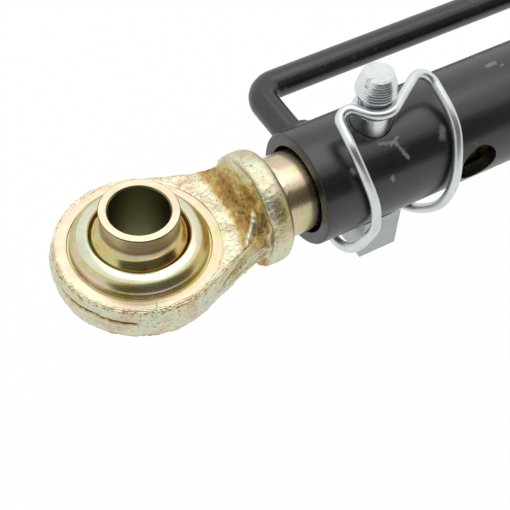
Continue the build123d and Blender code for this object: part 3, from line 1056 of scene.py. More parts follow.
def rod_outline(start, end, radius, chamfer, row=3.0):
    """Outline of a rod with a chamfered far end, in rows short enough to shade evenly."""
    rows = math.ceil((end - chamfer - start) / row)
    wall = [(radius, start + (end - chamfer - start) * step / rows) for step in range(rows + 1)]
    return [(0, start), *wall, (radius - chamfer, end), (0, end)]


def flat_edge(across):
    """Where the flat of the eye ends and the hollow starts, which bows back at one side."""
    return 33.6 - 0.0105 * np.minimum(across, 0) ** 2


def store_film_and_painted_light(piece, eye_x, toward):
    """Stores how thick the chromate film dried at each point, where it pools in hollows, with painted shade
    and painted highlight added.
    """
    points = read_points(piece)
    normals = read_normals(piece)
    along = (points[:, 0] - eye_x) * toward
    across = points[:, 1] * toward
    height = np.abs(points[:, 2])
    from_bore = np.hypot(along, across)
    on_top = smooth_step(0.2, 0.5, np.abs(normals[:, 2]))
    edge_of_flat = flat_edge(across) + 0.9 * lumps(points, 3.0, 3, 5.0)
    slope = smooth_step(edge_of_flat - 0.4, edge_of_flat + 2.4, along) * smooth_step(6.6, 7.2, height)
    slope *= 1 - smooth_step(collar_back_x - 2.6, collar_back_x - 0.8, along)
    slope *= 1 - 0.5 * smooth_step(38.0, collar_back_x - 1.0, along) * smooth_step(-6.0, 4.0, across)
    slope += 0.22 * smooth_step(38.5, 41.5, along) * (1 - smooth_step(-5.0, 1.0, across)) * slope
    hollow_top = np.interp(along, HOLLOW_PLACES, HOLLOW_HEIGHTS) + 0.4 * lumps(points, 3.0, 3, 17.0)
    hollow = smooth_step(0.5, 1.3, height) * (1 - smooth_step(hollow_top - 0.6, hollow_top + 0.1, height))
    hollow *= smooth_step(14, 20, along) * (1 - smooth_step(42, 44, along))
    # the crack gets a very thick, near-black film: painted shade inside the crack
    crack = crack_line(points, along, across, 0.42)
    lying_flat = smooth_step(0.5, 0.9, np.abs(normals[:, 2]))
    top_edge = np.exp(-(((height - eye_thickness + 0.9) / 0.7) ** 2)) * (1 - lying_flat)
    top_edge *= smooth_step(-0.12, 0.22, lumps(points, 1.1, 3, 21.0)) * (1 - smooth_step(20, 34, along))
    # a thick film along the ring's outer edge paints a dark line: painted shade at the small step there
    ring_shade_line = np.exp(-(((from_bore - spot_radius - 0.2) / 0.25) ** 2)) * on_top
    # the crest of the ragged ridge gets a thin, pale film: painted highlight
    bright = ridge_line(points, along, -across) * on_top
    seam = seam_line(points, along)
    slope = slope * (1 - bright) - 0.1 * bright
    hollow = 0.85 * hollow * (1 - seam) - 0.2 * seam
    # round the collar the film changes with height: thin and pale at the top as a painted highlight, olive at
    # mid height and tan low down
    upward = np.degrees(np.arctan2(height, np.abs(across)))
    collar = smooth_step(collar_back_x - 0.5, collar_back_x + 1.5, along)
    collar *= np.interp(upward, (0, 15, 30, 55, 72), (0.22, 0.26, 0.50, 0.50, 0.04))
    pooled_and_painted = np.minimum(slope + hollow, 1.05) + collar + 2.2 * crack + 1.4 * top_edge + 0.6 * ring_shade_line
    film = np.clip(pooled_and_painted, -0.3, 1.6)
    stored = piece.data.attributes.new(FILM_AND_PAINTED_LIGHT_NAME, "FLOAT", "POINT")
    stored.data.foreach_set("value", film.astype(np.float32))


def paint_rod_end(piece, eye_x, toward, materials):
    """Gives each face the material of how it was made: forged, turned eye or rod, with a darkened band at the
    ball's mouth as painted shade.
    """
    centres = face_centres(piece)
    along = (centres[:, 0] - eye_x) * toward
    across = centres[:, 1] * toward
    height = np.abs(centres[:, 2])
    from_bore = np.hypot(along, across)
    from_rod = np.hypot(across, centres[:, 2])
    forged, pressed, ring, lip_side, lip, mouth, rod = range(7)
    kinds = np.full(len(centres), forged)
    kinds[(height > eye_thickness - 0.6) & (along < flat_edge(across))] = pressed
    kinds[from_bore < spot_radius + 0.02] = ring
    kinds[from_bore < boss_radius + 0.6] = lip_side
    kinds[from_bore < boss_radius - 2.6] = lip
    # the band at the ball's mouth gets darkened zinc: painted shade where the lip meets the ball
    kinds[from_bore < lip_mouth + 0.5] = mouth
    kinds[(along > collar_face_x - 0.5) & (from_rod < rod_radius + 0.05)] = rod
    give_materials(piece, kinds, materials)
    crisp_border(piece, kinds == ring)


def crisp_border(piece, chosen):
    """Marks the edges round the chosen faces sharp, so that a flat shades as a flat."""
    mesh = piece.data
    edge_of_loop = np.empty(len(mesh.loops), np.int32)
    mesh.loops.foreach_get("edge_index", edge_of_loop)
    sides = np.empty(len(mesh.polygons), np.int32)
    mesh.polygons.foreach_get("loop_total", sides)
    inside = np.repeat(chosen, sides)
    touching = np.bincount(edge_of_loop, weights=inside, minlength=len(mesh.edges))
    sharp = np.empty(len(mesh.edges), bool)
    mesh.edges.foreach_get("use_edge_sharp", sharp)
    mesh.edges.foreach_set("use_edge_sharp", sharp | (touching == 1))
    mesh.update()


def eye_finishes(end, eye_x):
    """The finishes of a rod end, in the order of the numbers in paint_rod_end."""
    return [
        forged_zinc,
        pressed_zinc(f"{end}_pressed_zinc", eye_x),
        turned_zinc(f"{end}_ring_zinc", "Z", eye_x, thickness=0.36, variation=0.6, roughness=0.22),
        turned_zinc(f"{end}_lip_side_zinc", "Z", eye_x, thickness=0.50, variation=0.8, roughness=0.22),
        turned_zinc(f"{end}_lip_zinc", "Z", eye_x, thickness=0.16, variation=0.9, roughness=0.18),
        # shade 0.5 darkens the mouth band: painted shade between the lip and the ball
        turned_zinc(
            f"{end}_mouth_painted_shade_zinc", "Z", eye_x, thickness=0.80, variation=0.8, roughness=0.35, shade=0.5
        ),
    ]


rear_skin = skin.copy()
rear_skin.data = skin.data.copy()
rear_skin.name = "rear_forged_rod_end"
bpy.context.scene.collection.objects.link(rear_skin)

# %% [markdown]
# The front rod goes into the tube. The lock pin passes through a slot in it,
# which leaves the link some float, and a round hole crosses the rod further
# on. All edges of the slot are drilled and milled, so plain cuts are right.

# %% The front rod end
tube_wall = 5.0
front_rod_outline = rod_outline(collar_face_x - 4, rod_end_x, rod_radius, 2.0)
front_rod = lathe("front_rod", front_rod_outline, ALONG_LINK, steps=160)
slot_radius = 8.25
slot_reach = 12.5
slot_tool = make_piece(
    "slot",
    [
        (pin_x + side * slot_reach + slot_radius * math.cos(angle), slot_radius * math.sin(angle), height)
        for height in (-30, 30)
        for side, first in ((1, -90), (-1, 90))
        for angle in [math.radians(first + 180 * step / 24) for step in range(25)]
    ],
    [tuple(range(50))[::-1], tuple(range(50, 100))]
    + [(step, (step + 1) % 50, 50 + (step + 1) % 50, 50 + step) for step in range(50)],
)
combine(front_rod, slot_tool, "DIFFERENCE")
cross_hole_x = tube_face + 70.0 + 12.0
drill(front_rod, slot_radius, (cross_hole_x, -30, 0), (cross_hole_x, 30, 0))
combine(skin, front_rod, "UNION")
skin.name = "front_forged_rod_end"
rod_zinc = turned_zinc(
    "front_rod_zinc", "X", 0.0, thickness=0.40, variation=0.55, roughness=0.22, banding=0.12
)
soften(skin, 38)
store_film_and_painted_light(skin, 0.0, 1)
paint_rod_end(skin, 0.0, 1, [*eye_finishes("front", 0.0), rod_zinc])
hand_over(skin, "front_rod", "front_rod_end", "yellow_zinc")

# %% [markdown]
# The rear rod end starts from the same forging, turned round to face the other
# way. Its shank is threaded. A thread is a shape that follows a rule: the
# radius depends only on how far a point is along the pitch, less its share of
# a turn. So a Geometry Nodes tree takes a plain shank and lets every point on
# its wall sink by that rule, and the pitch and depth stay easy to change.

# %% The thread as a node tree


def start_tree(name, numbers):
    """A geometry node tree with a piece and named numbers going in."""
    tree = bpy.data.node_groups.new(name, "GeometryNodeTree")
    tree.interface.new_socket("Geometry", in_out="INPUT", socket_type="NodeSocketGeometry")
    for label in numbers:
        tree.interface.new_socket(label, in_out="INPUT", socket_type="NodeSocketFloat")
    tree.interface.new_socket("Material", in_out="INPUT", socket_type="NodeSocketMaterial")
    tree.interface.new_socket("Geometry", in_out="OUTPUT", socket_type="NodeSocketGeometry")
    return tree, tree.nodes.new("NodeGroupInput").outputs


def end_tree(tree, given, geometry):
    """Makes the result one real mesh with its material."""
    whole = put(tree, "GeometryNodeRealizeInstances", {"Geometry": geometry})
    painted = put(
        tree,
        "GeometryNodeSetMaterial",
        {"Geometry": whole.outputs[0], "Material": given["Material"]},
    )
    tree.links.new(painted.outputs[0], tree.nodes.new("NodeGroupOutput").inputs[0])
    return tree


def thread_tree():
    """Geometry nodes that cut a helical thread into a shank along X."""
    numbers = ("Pitch", "Depth", "Start", "End", "Run-out", "Wall radius")
    tree, given = start_tree("Cut thread", numbers)
    place = put(tree, "SeparateXYZ", {0: put(tree, "GeometryNodeInputPosition").outputs[0]})
    along, side, up = place.outputs
    squares = [sums(tree, "MULTIPLY", part, part) for part in (side, up)]
    radius = sums(tree, "SQRT", sums(tree, "ADD", *squares))
    turn = sums(tree, "DIVIDE", sums(tree, "ARCTAN2", up, side), 2 * math.pi)
    pitches = sums(tree, "DIVIDE", along, given["Pitch"])
    share = sums(tree, "FRACT", sums(tree, "ADD", pitches, turn))
    # a sixteenth of the pitch each side of the crest is flat, then the flank falls
    from_crest = sums(tree, "ABSOLUTE", sums(tree, "SUBTRACT", share, 0.5))
    flank = sums(tree, "MULTIPLY_ADD", from_crest, 16 / 5, -1 / 5)
    sunk = sums(tree, "MINIMUM", sums(tree, "MAXIMUM", flank, 0.0), 1.0)
    fade_in = sums(tree, "DIVIDE", sums(tree, "SUBTRACT", along, given["Start"]), given["Run-out"])
    fade_out = sums(tree, "DIVIDE", sums(tree, "SUBTRACT", given["End"], along), given["Run-out"])
    fade = sums(tree, "MINIMUM", fade_in, fade_out)
    fade = sums(tree, "MINIMUM", sums(tree, "MAXIMUM", fade, 0.0), 1.0)
    drop = sums(tree, "MULTIPLY", sums(tree, "MULTIPLY", sunk, fade), given["Depth"])
    shrink = sums(tree, "MULTIPLY", sums(tree, "DIVIDE", drop, radius), -1.0)
    offset = put(
        tree,
        "CombineXYZ",
        {"Y": sums(tree, "MULTIPLY", side, shrink), "Z": sums(tree, "MULTIPLY", up, shrink)},
    )
    on_wall = put(
        tree, "FunctionNodeCompare", {0: radius, 1: given["Wall radius"]}, operation="GREATER_THAN"
    )
    cut = put(
        tree,
        "GeometryNodeSetPosition",
        {"Geometry": given["Geometry"], "Selection": on_wall.outputs[0], "Offset": offset.outputs[0]},
    )
    return end_tree(tree, given, cut.outputs[0])


def run_tree(piece, tree, values):
    """Runs a node tree on a piece: inputs are found by name, and set by identifier."""
    step = piece.modifiers.new(tree.name, "NODES")
    step.node_group = tree
    for item in tree.interface.items_tree:
        if item.in_out == "INPUT" and item.name in values:
            step[item.identifier] = values[item.name]
    return settle(piece)


# %% The rear rod end
THREAD_PITCH = 3.5
THREAD_DEPTH = 2.1
THREAD_RUN_OUT = 3.0
SHANK_ROW = 0.5  # seven rows to each turn of the thread
SHANK_STEPS = 52
thread_radius = bush_high.y - tube_wall - 0.1 - 2.34 - 0.06
shank_face_x = rear_eye_x - collar_face_x
rear_zinc = turned_zinc("rear_shank_zinc", "X", 0.0, thickness=0.40, variation=0.45, roughness=0.28)
wall_start = rear_shank_end + 2.0
wall_length = shank_face_x - rear_shank_end - 2.0
rows = round(wall_length / SHANK_ROW)
shank_outline = [(0, rear_shank_end), (thread_radius - 2.0, rear_shank_end)]
for row in range(rows + 1):
    shank_outline.append((thread_radius, wall_start + wall_length * row / rows))
shank_outline += [(thread_radius, shank_face_x + 4), (0, shank_face_x + 4)]
rear_shank = lathe("rear_shank", shank_outline, ALONG_LINK, steps=SHANK_STEPS)
run_tree(
    rear_shank,
    thread_tree(),
    {
        "Pitch": THREAD_PITCH * MM,
        "Depth": THREAD_DEPTH * MM,
        "Start": (rear_shank_end - 1.0) * MM,
        "End": (shank_face_x - 5.0) * MM,
        "Run-out": THREAD_RUN_OUT * MM,
        "Wall radius": (thread_radius - 0.5) * MM,
        "Material": rear_zinc,
    },
)
rear_skin.data.transform(Matrix.Translation((rear_eye_x * MM, 0, 0)) @ Matrix.Rotation(math.pi, 4, "Z"))
combine(rear_skin, rear_shank, "UNION")
soften(rear_skin, 38)
store_film_and_painted_light(rear_skin, rear_eye_x, -1)
paint_rod_end(rear_skin, rear_eye_x, -1, [*eye_finishes("rear", rear_eye_x), rear_zinc])
hand_over(rear_skin, "rear_rod", "rear_rod_end", "yellow_zinc")

# %% [markdown]
# ## The tube
#
# The tube is a plain steel tube with chamfered ends, a hole from top to bottom
# for the lock pin and a spare hole across. It is spun on the lathe and drilled.

# %% The tube
tube_bore = tube_radius - tube_wall
tube_piece = lathe(
    "black_tube",
    flat_outline(
        [
            (tube_bore, tube_face),
            (tube_radius, tube_face),
            (tube_radius, tube_end),
            (tube_bore, tube_end),
        ],
        [0.5, 0.8, 0.5, 0.5],
    ),
    ALONG_LINK,
    steps=192,
)
pin_hole_radius = 8.25
spare_hole_radius = 8.5
spare_hole_x = tube_face + 70.0
drill(tube_piece, pin_hole_radius, (pin_x, 0, -40), (pin_x, 0, 40))
drill(tube_piece, spare_hole_radius, (spare_hole_x, -40, 0), (spare_hole_x, 40, 0))
soften(tube_piece)
TUBE_SMEARS = [
    ((95.5, -10.0, 20.2), (101.6, -11.5, 19.3), 0.9),
    ((101.6, -11.5, 19.3), (104.5, -17.0, 14.8), 1.1),
    ((99.5, -11.8, 19.2), (103.5, -10.2, 20.1), 0.7),
    ((122.7, -13.1, 18.3), (121.3, -15.5, 16.3), 1.8),
    ((155.5, 3.0, 22.3), (159.5, 3.4, 22.2), 1.3),
    ((160.5, 0.5, 22.5), (161.5, 0.9, 22.5), 0.6),
    ((96.0, -19.8, 10.8), (96.3, -20.3, 9.8), 1.2),
    ((80.7, -14.3, 17.4), (81.2, -15.2, 16.6), 1.3),
    ((84.0, -15.2, 16.6), (84.4, -16.0, 15.8), 1.1),
]
tube_paint = paint_finish("tube_black_paint", 0.20, 0.18, 0.03, TUBE_SMEARS)
hand_over(tube_piece, "tube_body", "tube", "black_paint", tube_paint)

# %% [markdown]
# ## The handle
#
# The handle is a round bar with two bends, welded to the tube's side. A curve
# with a round bevel is the quickest way to a bent bar: the route gets its
# bends from the same function as before.

# %% Bend a bar along a route


def bent_bar(name, route, radius, sides=8):
    """A round bar along a route in millimetres, as a plain mesh."""
    curve = bpy.data.curves.new(name, "CURVE")
    curve.dimensions = "3D"
    curve.bevel_depth = radius * MM
    curve.bevel_resolution = sides
    curve.use_fill_caps = True
    line = curve.splines.new("POLY")
    line.points.add(len(route) - 1)
    for point, place in zip(line.points, route):
        point.co = (*(Vector(place) * MM), 1)
    draft = bpy.data.objects.new(name, curve)
    bpy.context.scene.collection.objects.link(draft)
    bpy.context.view_layer.update()
    graph = bpy.context.evaluated_depsgraph_get()
    mesh = bpy.data.meshes.new_from_object(draft.evaluated_get(graph))
    bpy.data.objects.remove(draft)
    work = bmesh.new()
    work.from_mesh(mesh)
    bmesh.ops.remove_doubles(work, verts=work.verts, dist=1e-7)
    bmesh.ops.recalc_face_normals(work, faces=work.faces)
    work.to_mesh(mesh)
    work.free()
    bar = bpy.data.objects.new(name, mesh)
    bpy.context.scene.collection.objects.link(bar)
    soften(bar, 45)
    return bar


handle_high = node_box("handle")[1]
bar_radius = handle_high.z
bar_height = handle_high.y - bar_radius
bar_foot = tube_radius - 2.0
handle_route = round_corners(
    [
        (handle_front_x, bar_foot, 0),
        (handle_front_x, bar_height, 0),
        (handle_rear_x, bar_height, 0),
        (handle_rear_x, bar_foot, 0),
    ],
    [0, 9.0, 9.0, 0],
    closed=False,
    step_degrees=6.0,
)
handle_piece = bent_bar("bent_handle", handle_route, bar_radius)
hand_over(handle_piece, "tube_body", "handle", "black_paint", black_paint)

# %% [markdown]
# ## The welds
#
# A weld bead is laid along a joint in small steps, and each step leaves a
# ripple. It is the second thing here that follows a path by a rule, so it gets
# a node tree too: the path is cut into short lengths, a round bead is swept
# along it, and the bead swells and falls back once for each ripple. A little
# noise keeps the ripples from looking machined.

# %% The weld bead as a node tree


def bead_tree():
    """Geometry nodes that lay a rippled bead along a closed path of edges."""
    tree, given = start_tree("Weld bead", ("Bead radius", "Ripple length", "Ripple depth", "Unevenness"))
    path = put(tree, "GeometryNodeMeshToCurve", {"Mesh": given["Geometry"]})
    step_length = sums(tree, "DIVIDE", given["Ripple length"], 7.0)
    even = put(
        tree, "GeometryNodeResampleCurve", {"Curve": path.outputs[0], "Length": step_length}, mode="LENGTH"
    )
    place = put(tree, "GeometryNodeInputPosition").outputs[0]
    wander = put(tree, "TexNoise", {"Vector": place, "Scale": 260.0, "Detail": 2.0})
    travelled = put(tree, "GeometryNodeSplineParameter").outputs["Length"]
    ripples = sums(tree, "DIVIDE", travelled, given["Ripple length"])
    ripples = sums(tree, "MULTIPLY_ADD", wander.outputs["Fac"], 2.0, ripples)
    fallen = sums(tree, "MULTIPLY", sums(tree, "FRACT", ripples), given["Ripple depth"])
    swell = sums(tree, "SUBTRACT", 1.0, fallen)
    ring = put(tree, "GeometryNodeCurvePrimitiveCircle", {"Resolution": 20, "Radius": given["Bead radius"]})
    bead = put(
        tree,
        "GeometryNodeCurveToMesh",
        {"Curve": even.outputs[0], "Profile Curve": ring.outputs["Curve"], "Scale": swell},
    )
    grain = put(tree, "TexNoise", {"Vector": place, "Scale": 700.0, "Detail": 3.0})
    raised = sums(tree, "SUBTRACT", grain.outputs["Fac"], 0.5)
    push = put(
        tree, "VectorMath", {0: put(tree, "GeometryNodeInputNormal").outputs["Normal"]}, operation="SCALE"
    )
    tree.links.new(sums(tree, "MULTIPLY", raised, given["Unevenness"]), push.inputs["Scale"])
    uneven = put(
        tree, "GeometryNodeSetPosition", {"Geometry": bead.outputs[0], "Offset": push.outputs[0]}
    )
    return end_tree(tree, given, uneven.outputs[0])


def lay_bead(name, route, tree, node, bead_radius, ripple_length):
    """A weld bead along a closed route in millimetres."""
    count = len(route)
    mesh = bpy.data.meshes.new(name)
    mesh.from_pydata(
        [tuple(Vector(point) * MM) for point in route],
        [(step, (step + 1) % count) for step in range(count)],
        [],
    )
    bead = bpy.data.objects.new(name, mesh)
    bpy.context.scene.collection.objects.link(bead)
    run_tree(
        bead,
        tree,
        {
            "Bead radius": bead_radius * MM,
            "Ripple length": ripple_length * MM,
            "Ripple depth": 0.16,
            "Unevenness": 0.5 * MM,
            "Material": weld_paint,
        },
    )
    soften(bead, 60)
    hand_over(bead, "tube_body", node, "painted_weld")


# %% Lay the beads
weld_paint = paint_finish("painted_weld", 0.16, 0.12, 0.05)
weld_tree = bead_tree()
for end, leg_x in (("front", handle_front_x), ("rear", handle_rear_x)):
    lay_bead(
        f"{end}_leg_bead",
        [
            (
                leg_x + (bar_radius + 0.9) * math.cos(math.radians(turn)),
                math.sqrt(
                    (tube_radius + 0.7) ** 2
                    - ((bar_radius + 0.9) * math.sin(math.radians(turn))) ** 2
                ),
                (bar_radius + 0.9) * math.sin(math.radians(turn)),
            )
            for turn in range(0, 360, 5)
        ],
        weld_tree,
        f"{end}_handle_weld",
        bead_radius=2.5,
        ripple_length=1.7,
    )
bush_bead_radius = 3.2
bush_bead_path = tube_radius + 1.25 - bush_bead_radius
lay_bead(
    "bush_bead",
    [
        (
            tube_end,
            bush_bead_path * math.cos(math.radians(turn)),
            bush_bead_path * math.sin(math.radians(turn)),
        )
        for turn in range(0, 360, 3)
    ],
    weld_tree,
    "bush_weld",
    bead_radius=bush_bead_radius,
    ripple_length=2.1,
)

# %% [markdown]
# ## The bush and the jam nut
#
# The bush closes the tube's rear end: a spigot inside the tube and a flange
# behind the bead. The jam nut was sawn from a hexagon bar, drilled, and turned
# on both faces, which leaves an arc at the top of each flat. To get those arcs
# the right way, the nut is what a hexagon prism and a turned blank share.

# %% The bush
screw_bore = bush_high.y - tube_wall - 0.1 - 2.34
bush_piece = lathe(
    "screwed_bush",
    flat_outline(
        [
            (screw_bore, bush_low.x),
            (tube_bore - 0.1, bush_low.x),
            (tube_bore - 0.1, tube_end),
            (tube_radius, tube_end),
            (tube_radius, bush_high.x - 1.5),
            (tube_radius - 1.5, bush_high.x),
            (screw_bore + 1.2, bush_high.x),
            (screw_bore, bush_high.x - 1.2),
        ],
        [0.3, 0.8, 0, 0, 0.5, 0.5, 0.3, 0.3],
    ),
    ALONG_LINK,
    steps=160,
)
hand_over(bush_piece, "tube_body", "threaded_bush", "black_paint", black_paint)

# %% The jam nut
nut_flat = nut_high.z
nut_corner = nut_flat / math.cos(math.radians(30))
corner_drop = (nut_corner - nut_flat + 0.6) * math.tan(math.radians(30))
nut_piece = make_piece(
    "cornered_jam_nut",
    [
        (x, nut_corner * math.cos(math.radians(turn)), nut_corner * math.sin(math.radians(turn)))
        for x in (nut_low.x, nut_high.x)
        for turn in range(0, 360, 60)
    ],
    [tuple(range(6)), tuple(range(6, 12))] + [(k, (k + 1) % 6, 6 + (k + 1) % 6, 6 + k) for k in range(6)],
)
worn_hex = nut_piece.modifiers.new("Worn edges", "BEVEL")
worn_hex.width = 0.35 * MM
worn_hex.segments = 3
settle(nut_piece)
blank = lathe(
    "blank",
    flat_outline(
        [
            (screw_bore + 1.0, nut_low.x),
            (nut_flat - 0.6, nut_low.x),
            (nut_corner + 0.5, nut_low.x + corner_drop),
            (nut_corner + 0.5, nut_high.x - corner_drop),
            (nut_flat - 0.6, nut_high.x),
            (screw_bore + 1.0, nut_high.x),
            (screw_bore, nut_high.x - 1.0),
            (screw_bore, nut_low.x + 1.0),
        ],
        [0.3, 0.4, 0, 0, 0.4, 0.3, 0.2, 0.2],
    ),
    ALONG_LINK,
    steps=192,
)
combine(nut_piece, blank, "INTERSECT")
soften(nut_piece, 25)
nut_zinc = turned_zinc("nut_zinc", "X", 0.0, thickness=0.34, variation=0.9, roughness=0.26)
hand_over(nut_piece, "jam_nut_body", "jam_nut", "yellow_zinc", nut_zinc)

# %% [markdown]
# ## The lock pin
#
# The lock pin comes up through the tube from below. Its head is a forged block
# with a round saddle that fits the tube, and its nose was turned with a coarse
# feed that left clear ridges. A groove near the top takes the clip.

# %% The lock pin
pin_radius = 8.0
wire_radius = 2.0
clip_height = tube_radius + 11.3
groove_radius = pin_radius - 1.5
groove_half = wire_radius + 0.5
nose_start = clip_height + groove_half + 2.2
nose_radius = pin_radius - 2.4
head_bottom = -pin_low.z
head_half_width = pin_high.y
head_length = pin_high.x - pin_low.x
pivot_height = -(tube_radius + 7.0)


def ridged(outline, feed, depth):
    """Cuts shallow scallops into an outline, as a coarse feed does."""
    ridges = []
    for (radius, height), (next_radius, next_height) in zip(outline, outline[1:]):
        length = math.hypot(next_radius - radius, next_height - height)
        count = max(1, round(length / feed))
        for step in range(count):
            share = step / count
            middle = (step + 0.5) / count
            ridges.append((radius + (next_radius - radius) * share, height + (next_height - height) * share))
            ridges.append(
                (
                    radius + (next_radius - radius) * middle - depth,
                    height + (next_height - height) * middle,
                )
            )
    return ridges + [outline[-1]]


nose = [
    (pin_radius, nose_start),
    (pin_radius - 0.55, nose_start + 3.4),
    (pin_radius - 1.45, nose_start + 6.3),
    (nose_radius + 0.35, pin_high.z - 0.5),
]
pin_outline = (
    [
        (0, pivot_height),
        (pin_radius, pivot_height),
        (pin_radius, clip_height - groove_half - 1.5),
        (groove_radius, clip_height - groove_half),
        (groove_radius, clip_height + groove_half),
        (pin_radius - 0.2, clip_height + groove_half + 1.4),
    ]
    + ridged(nose, 1.15, 0.32)
    + [(nose_radius - 0.4, pin_high.z), (0, pin_high.z)]
)
pin_piece = lathe("turned_lock_pin", pin_outline, Matrix.Translation((pin_x, 0, 0)), steps=96)
head_piece = make_piece(
    "head",
    [
        (pin_x + x * head_length / 2, y * head_half_width, z)
        for x in (-1, 1)
        for y in (-1, 1)
        for z in (-head_bottom, 0)
    ],
    [(0, 1, 3, 2), (4, 6, 7, 5), (0, 4, 5, 1), (2, 3, 7, 6), (0, 2, 6, 4), (1, 5, 7, 3)],
)
saddle_radius = tube_radius + 1.5
saddle_tool = lathe(
    "saddle",
    [(0, pin_x - 30), (saddle_radius, pin_x - 30), (saddle_radius, pin_x + 30), (0, pin_x + 30)],
    Matrix.Translation((0, 0, 1.2)) @ ALONG_LINK,
    steps=192,
)
combine(head_piece, saddle_tool, "DIFFERENCE")
drill(head_piece, wire_radius + 0.1, (pin_x - 20, 0, pivot_height), (pin_x + 20, 0, pivot_height))
worn = head_piece.modifiers.new("Worn edges", "BEVEL")
worn.width = 1.6 * MM
worn.segments = 4
worn.limit_method = "ANGLE"
worn.angle_limit = math.radians(40)
settle(head_piece)
combine(pin_piece, head_piece, "UNION")
drill(pin_piece, wire_radius + 0.1, (pin_x - 20, 0, pivot_height), (pin_x + 20, 0, pivot_height))
drill(pin_piece, 0.7, (pin_x - 4.5, -1.2, pin_high.z + 2.0), (pin_x - 6.5, -1.9, pin_high.z - 3.2))
soften(pin_piece, 28)
pin_middles = face_centres(pin_piece)
HEAD_REACH = 3.0  # how far the dull finish of the head goes up past the tube's underside
is_head = pin_middles[:, 2] < HEAD_REACH - tube_radius
# the head's faces take the darkened head zinc: painted shade
give_materials(pin_piece, is_head.astype(int), [pin_zinc, head_zinc_painted_shade])
hand_over(pin_piece, "lock_pin_body", "lock_pin", "bright_zinc")

# %% [markdown]
# ## The wire clip
#
# The clip is one length of spring wire. Its two ends turn in a hole through
# the pin's head, its legs bow round the tube, and the notch in its top snaps
# into the pin's groove. The route is a short list of corners, each with the
# radius it was bent to. Those beside the tube are given by their place along
# it, the angle up from its near side and how far they stand off it. A spring
# wire sweeps from bend to bend, so the legs are eased a little at the end.

# %% The wire clip
hug_radius = groove_radius + wire_radius + 0.2
left_lean, right_lean = math.radians(52.0), math.radians(33.0)
notch_reach = hug_radius / math.cos((left_lean + right_lean) / 2)
notch_turn = (right_lean - left_lean) / 2
notch = Vector((notch_reach * math.sin(notch_turn), -notch_reach * math.cos(notch_turn), clip_height))
left_shoulder = notch + 22.0 * Vector((-math.cos(left_lean), math.sin(left_lean), 0))
right_shoulder = notch + 35.0 * Vector((math.cos(right_lean), math.sin(right_lean), 0))


def beside_tube(along, clock, standoff):
    """A corner of the wire, placed by its angle round the tube."""
    reach = tube_radius + standoff
    angle = math.radians(clock)
    return (along, -reach * math.cos(angle), reach * math.sin(angle))


clip_corners = [
    ((-2.5, 0, pivot_height), 0),
    ((-17.0, 0, pivot_height), 6.0),
    (beside_tube(-15.2, -56.3, 11.8), 10.0),
    (beside_tube(-10.4, -17.4, 4.2), 14.0),
    (beside_tube(-13.2, 19.2, 4.8), 16.0),
    (beside_tube(-17.8, 61.8, 8.2), 12.0),
    (left_shoulder, 4.0),
    (notch, hug_radius),
    (right_shoulder, 6.0),
    (beside_tube(28.6, 52.3, 5.3), 14.0),
    (beside_tube(24.6, 4.2, 5.1), 16.0),
    (beside_tube(24.2, -37.1, 5.7), 12.0),
    (beside_tube(22.5, -74.3, 10.7), 5.0),
    ((17.0, 0, pivot_height), 5.0),
    ((2.5, 0, pivot_height), 0),
]
clip_route = round_corners(
    [Vector(corner) + Vector((pin_x, 0, 0)) for corner, bend in clip_corners],
    [bend for corner, bend in clip_corners],
    closed=False,
    step_degrees=5.0,
)


def even_steps(route, step):
    """The same route with points at even steps."""
    places = [Vector(route[0])]
    left = step
    for start, end in zip(route, route[1:]):
        run = Vector(end) - Vector(start)
        done = 0.0
        while run.length - done > left:
            done += left
            places.append(Vector(start) + run.normalized() * done)
            left = step
        left -= run.length - done
    return places + [Vector(route[-1])]


def ease_legs(route, rounds):
    """Lets the legs relax into one sweep, and keeps the notch and the two ends."""
    places = np.array([tuple(place) for place in route])
    for _ in range(rounds):
        height, reach = places[1:-1, 2], np.abs(places[1:-1, 0] - pin_x)
        free = (1 - smooth_step(22.0, 30.0, height)) * smooth_step(11.0, 15.0, reach)
        middle = (places[:-2] + places[2:]) / 2
        places[1:-1] += free[:, None] * 0.5 * (middle - places[1:-1])
    return [tuple(place) for place in places]


WIRE_STEP = 0.6
EASING_ROUNDS = 160
even_route = even_steps(clip_route, WIRE_STEP)
clip_route = [Vector(place) for place in ease_legs(even_route, EASING_ROUNDS)]
clip_length = sum((after - before).length for before, after in zip(clip_route, clip_route[1:]))
print("clip wire is", round(clip_length, 1), "mm long")
beside_tube = [place for place in clip_route if abs(place.x - pin_x) > 14]
nearest = min(math.hypot(place.y, place.z) for place in beside_tube)
print("clip stands off", round(nearest - tube_radius - wire_radius, 2), "mm")
clip_piece = bent_bar("bent_wire_clip", clip_route, wire_radius, sides=6)
hand_over(clip_piece, "clip_body", "wire_clip", "spring_wire", wire_zinc)

# %% [markdown]
# ## The studio
#
# The photograph was taken on white. A white floor lies so far under the link
# that the pin and the clip stay above it when they are drawn out, and large
# soft lamps stand round it. Polished metal shows whatever stands round
# it, so the studio has both bright sheets and one dark side, as a product
# photographer would set up.

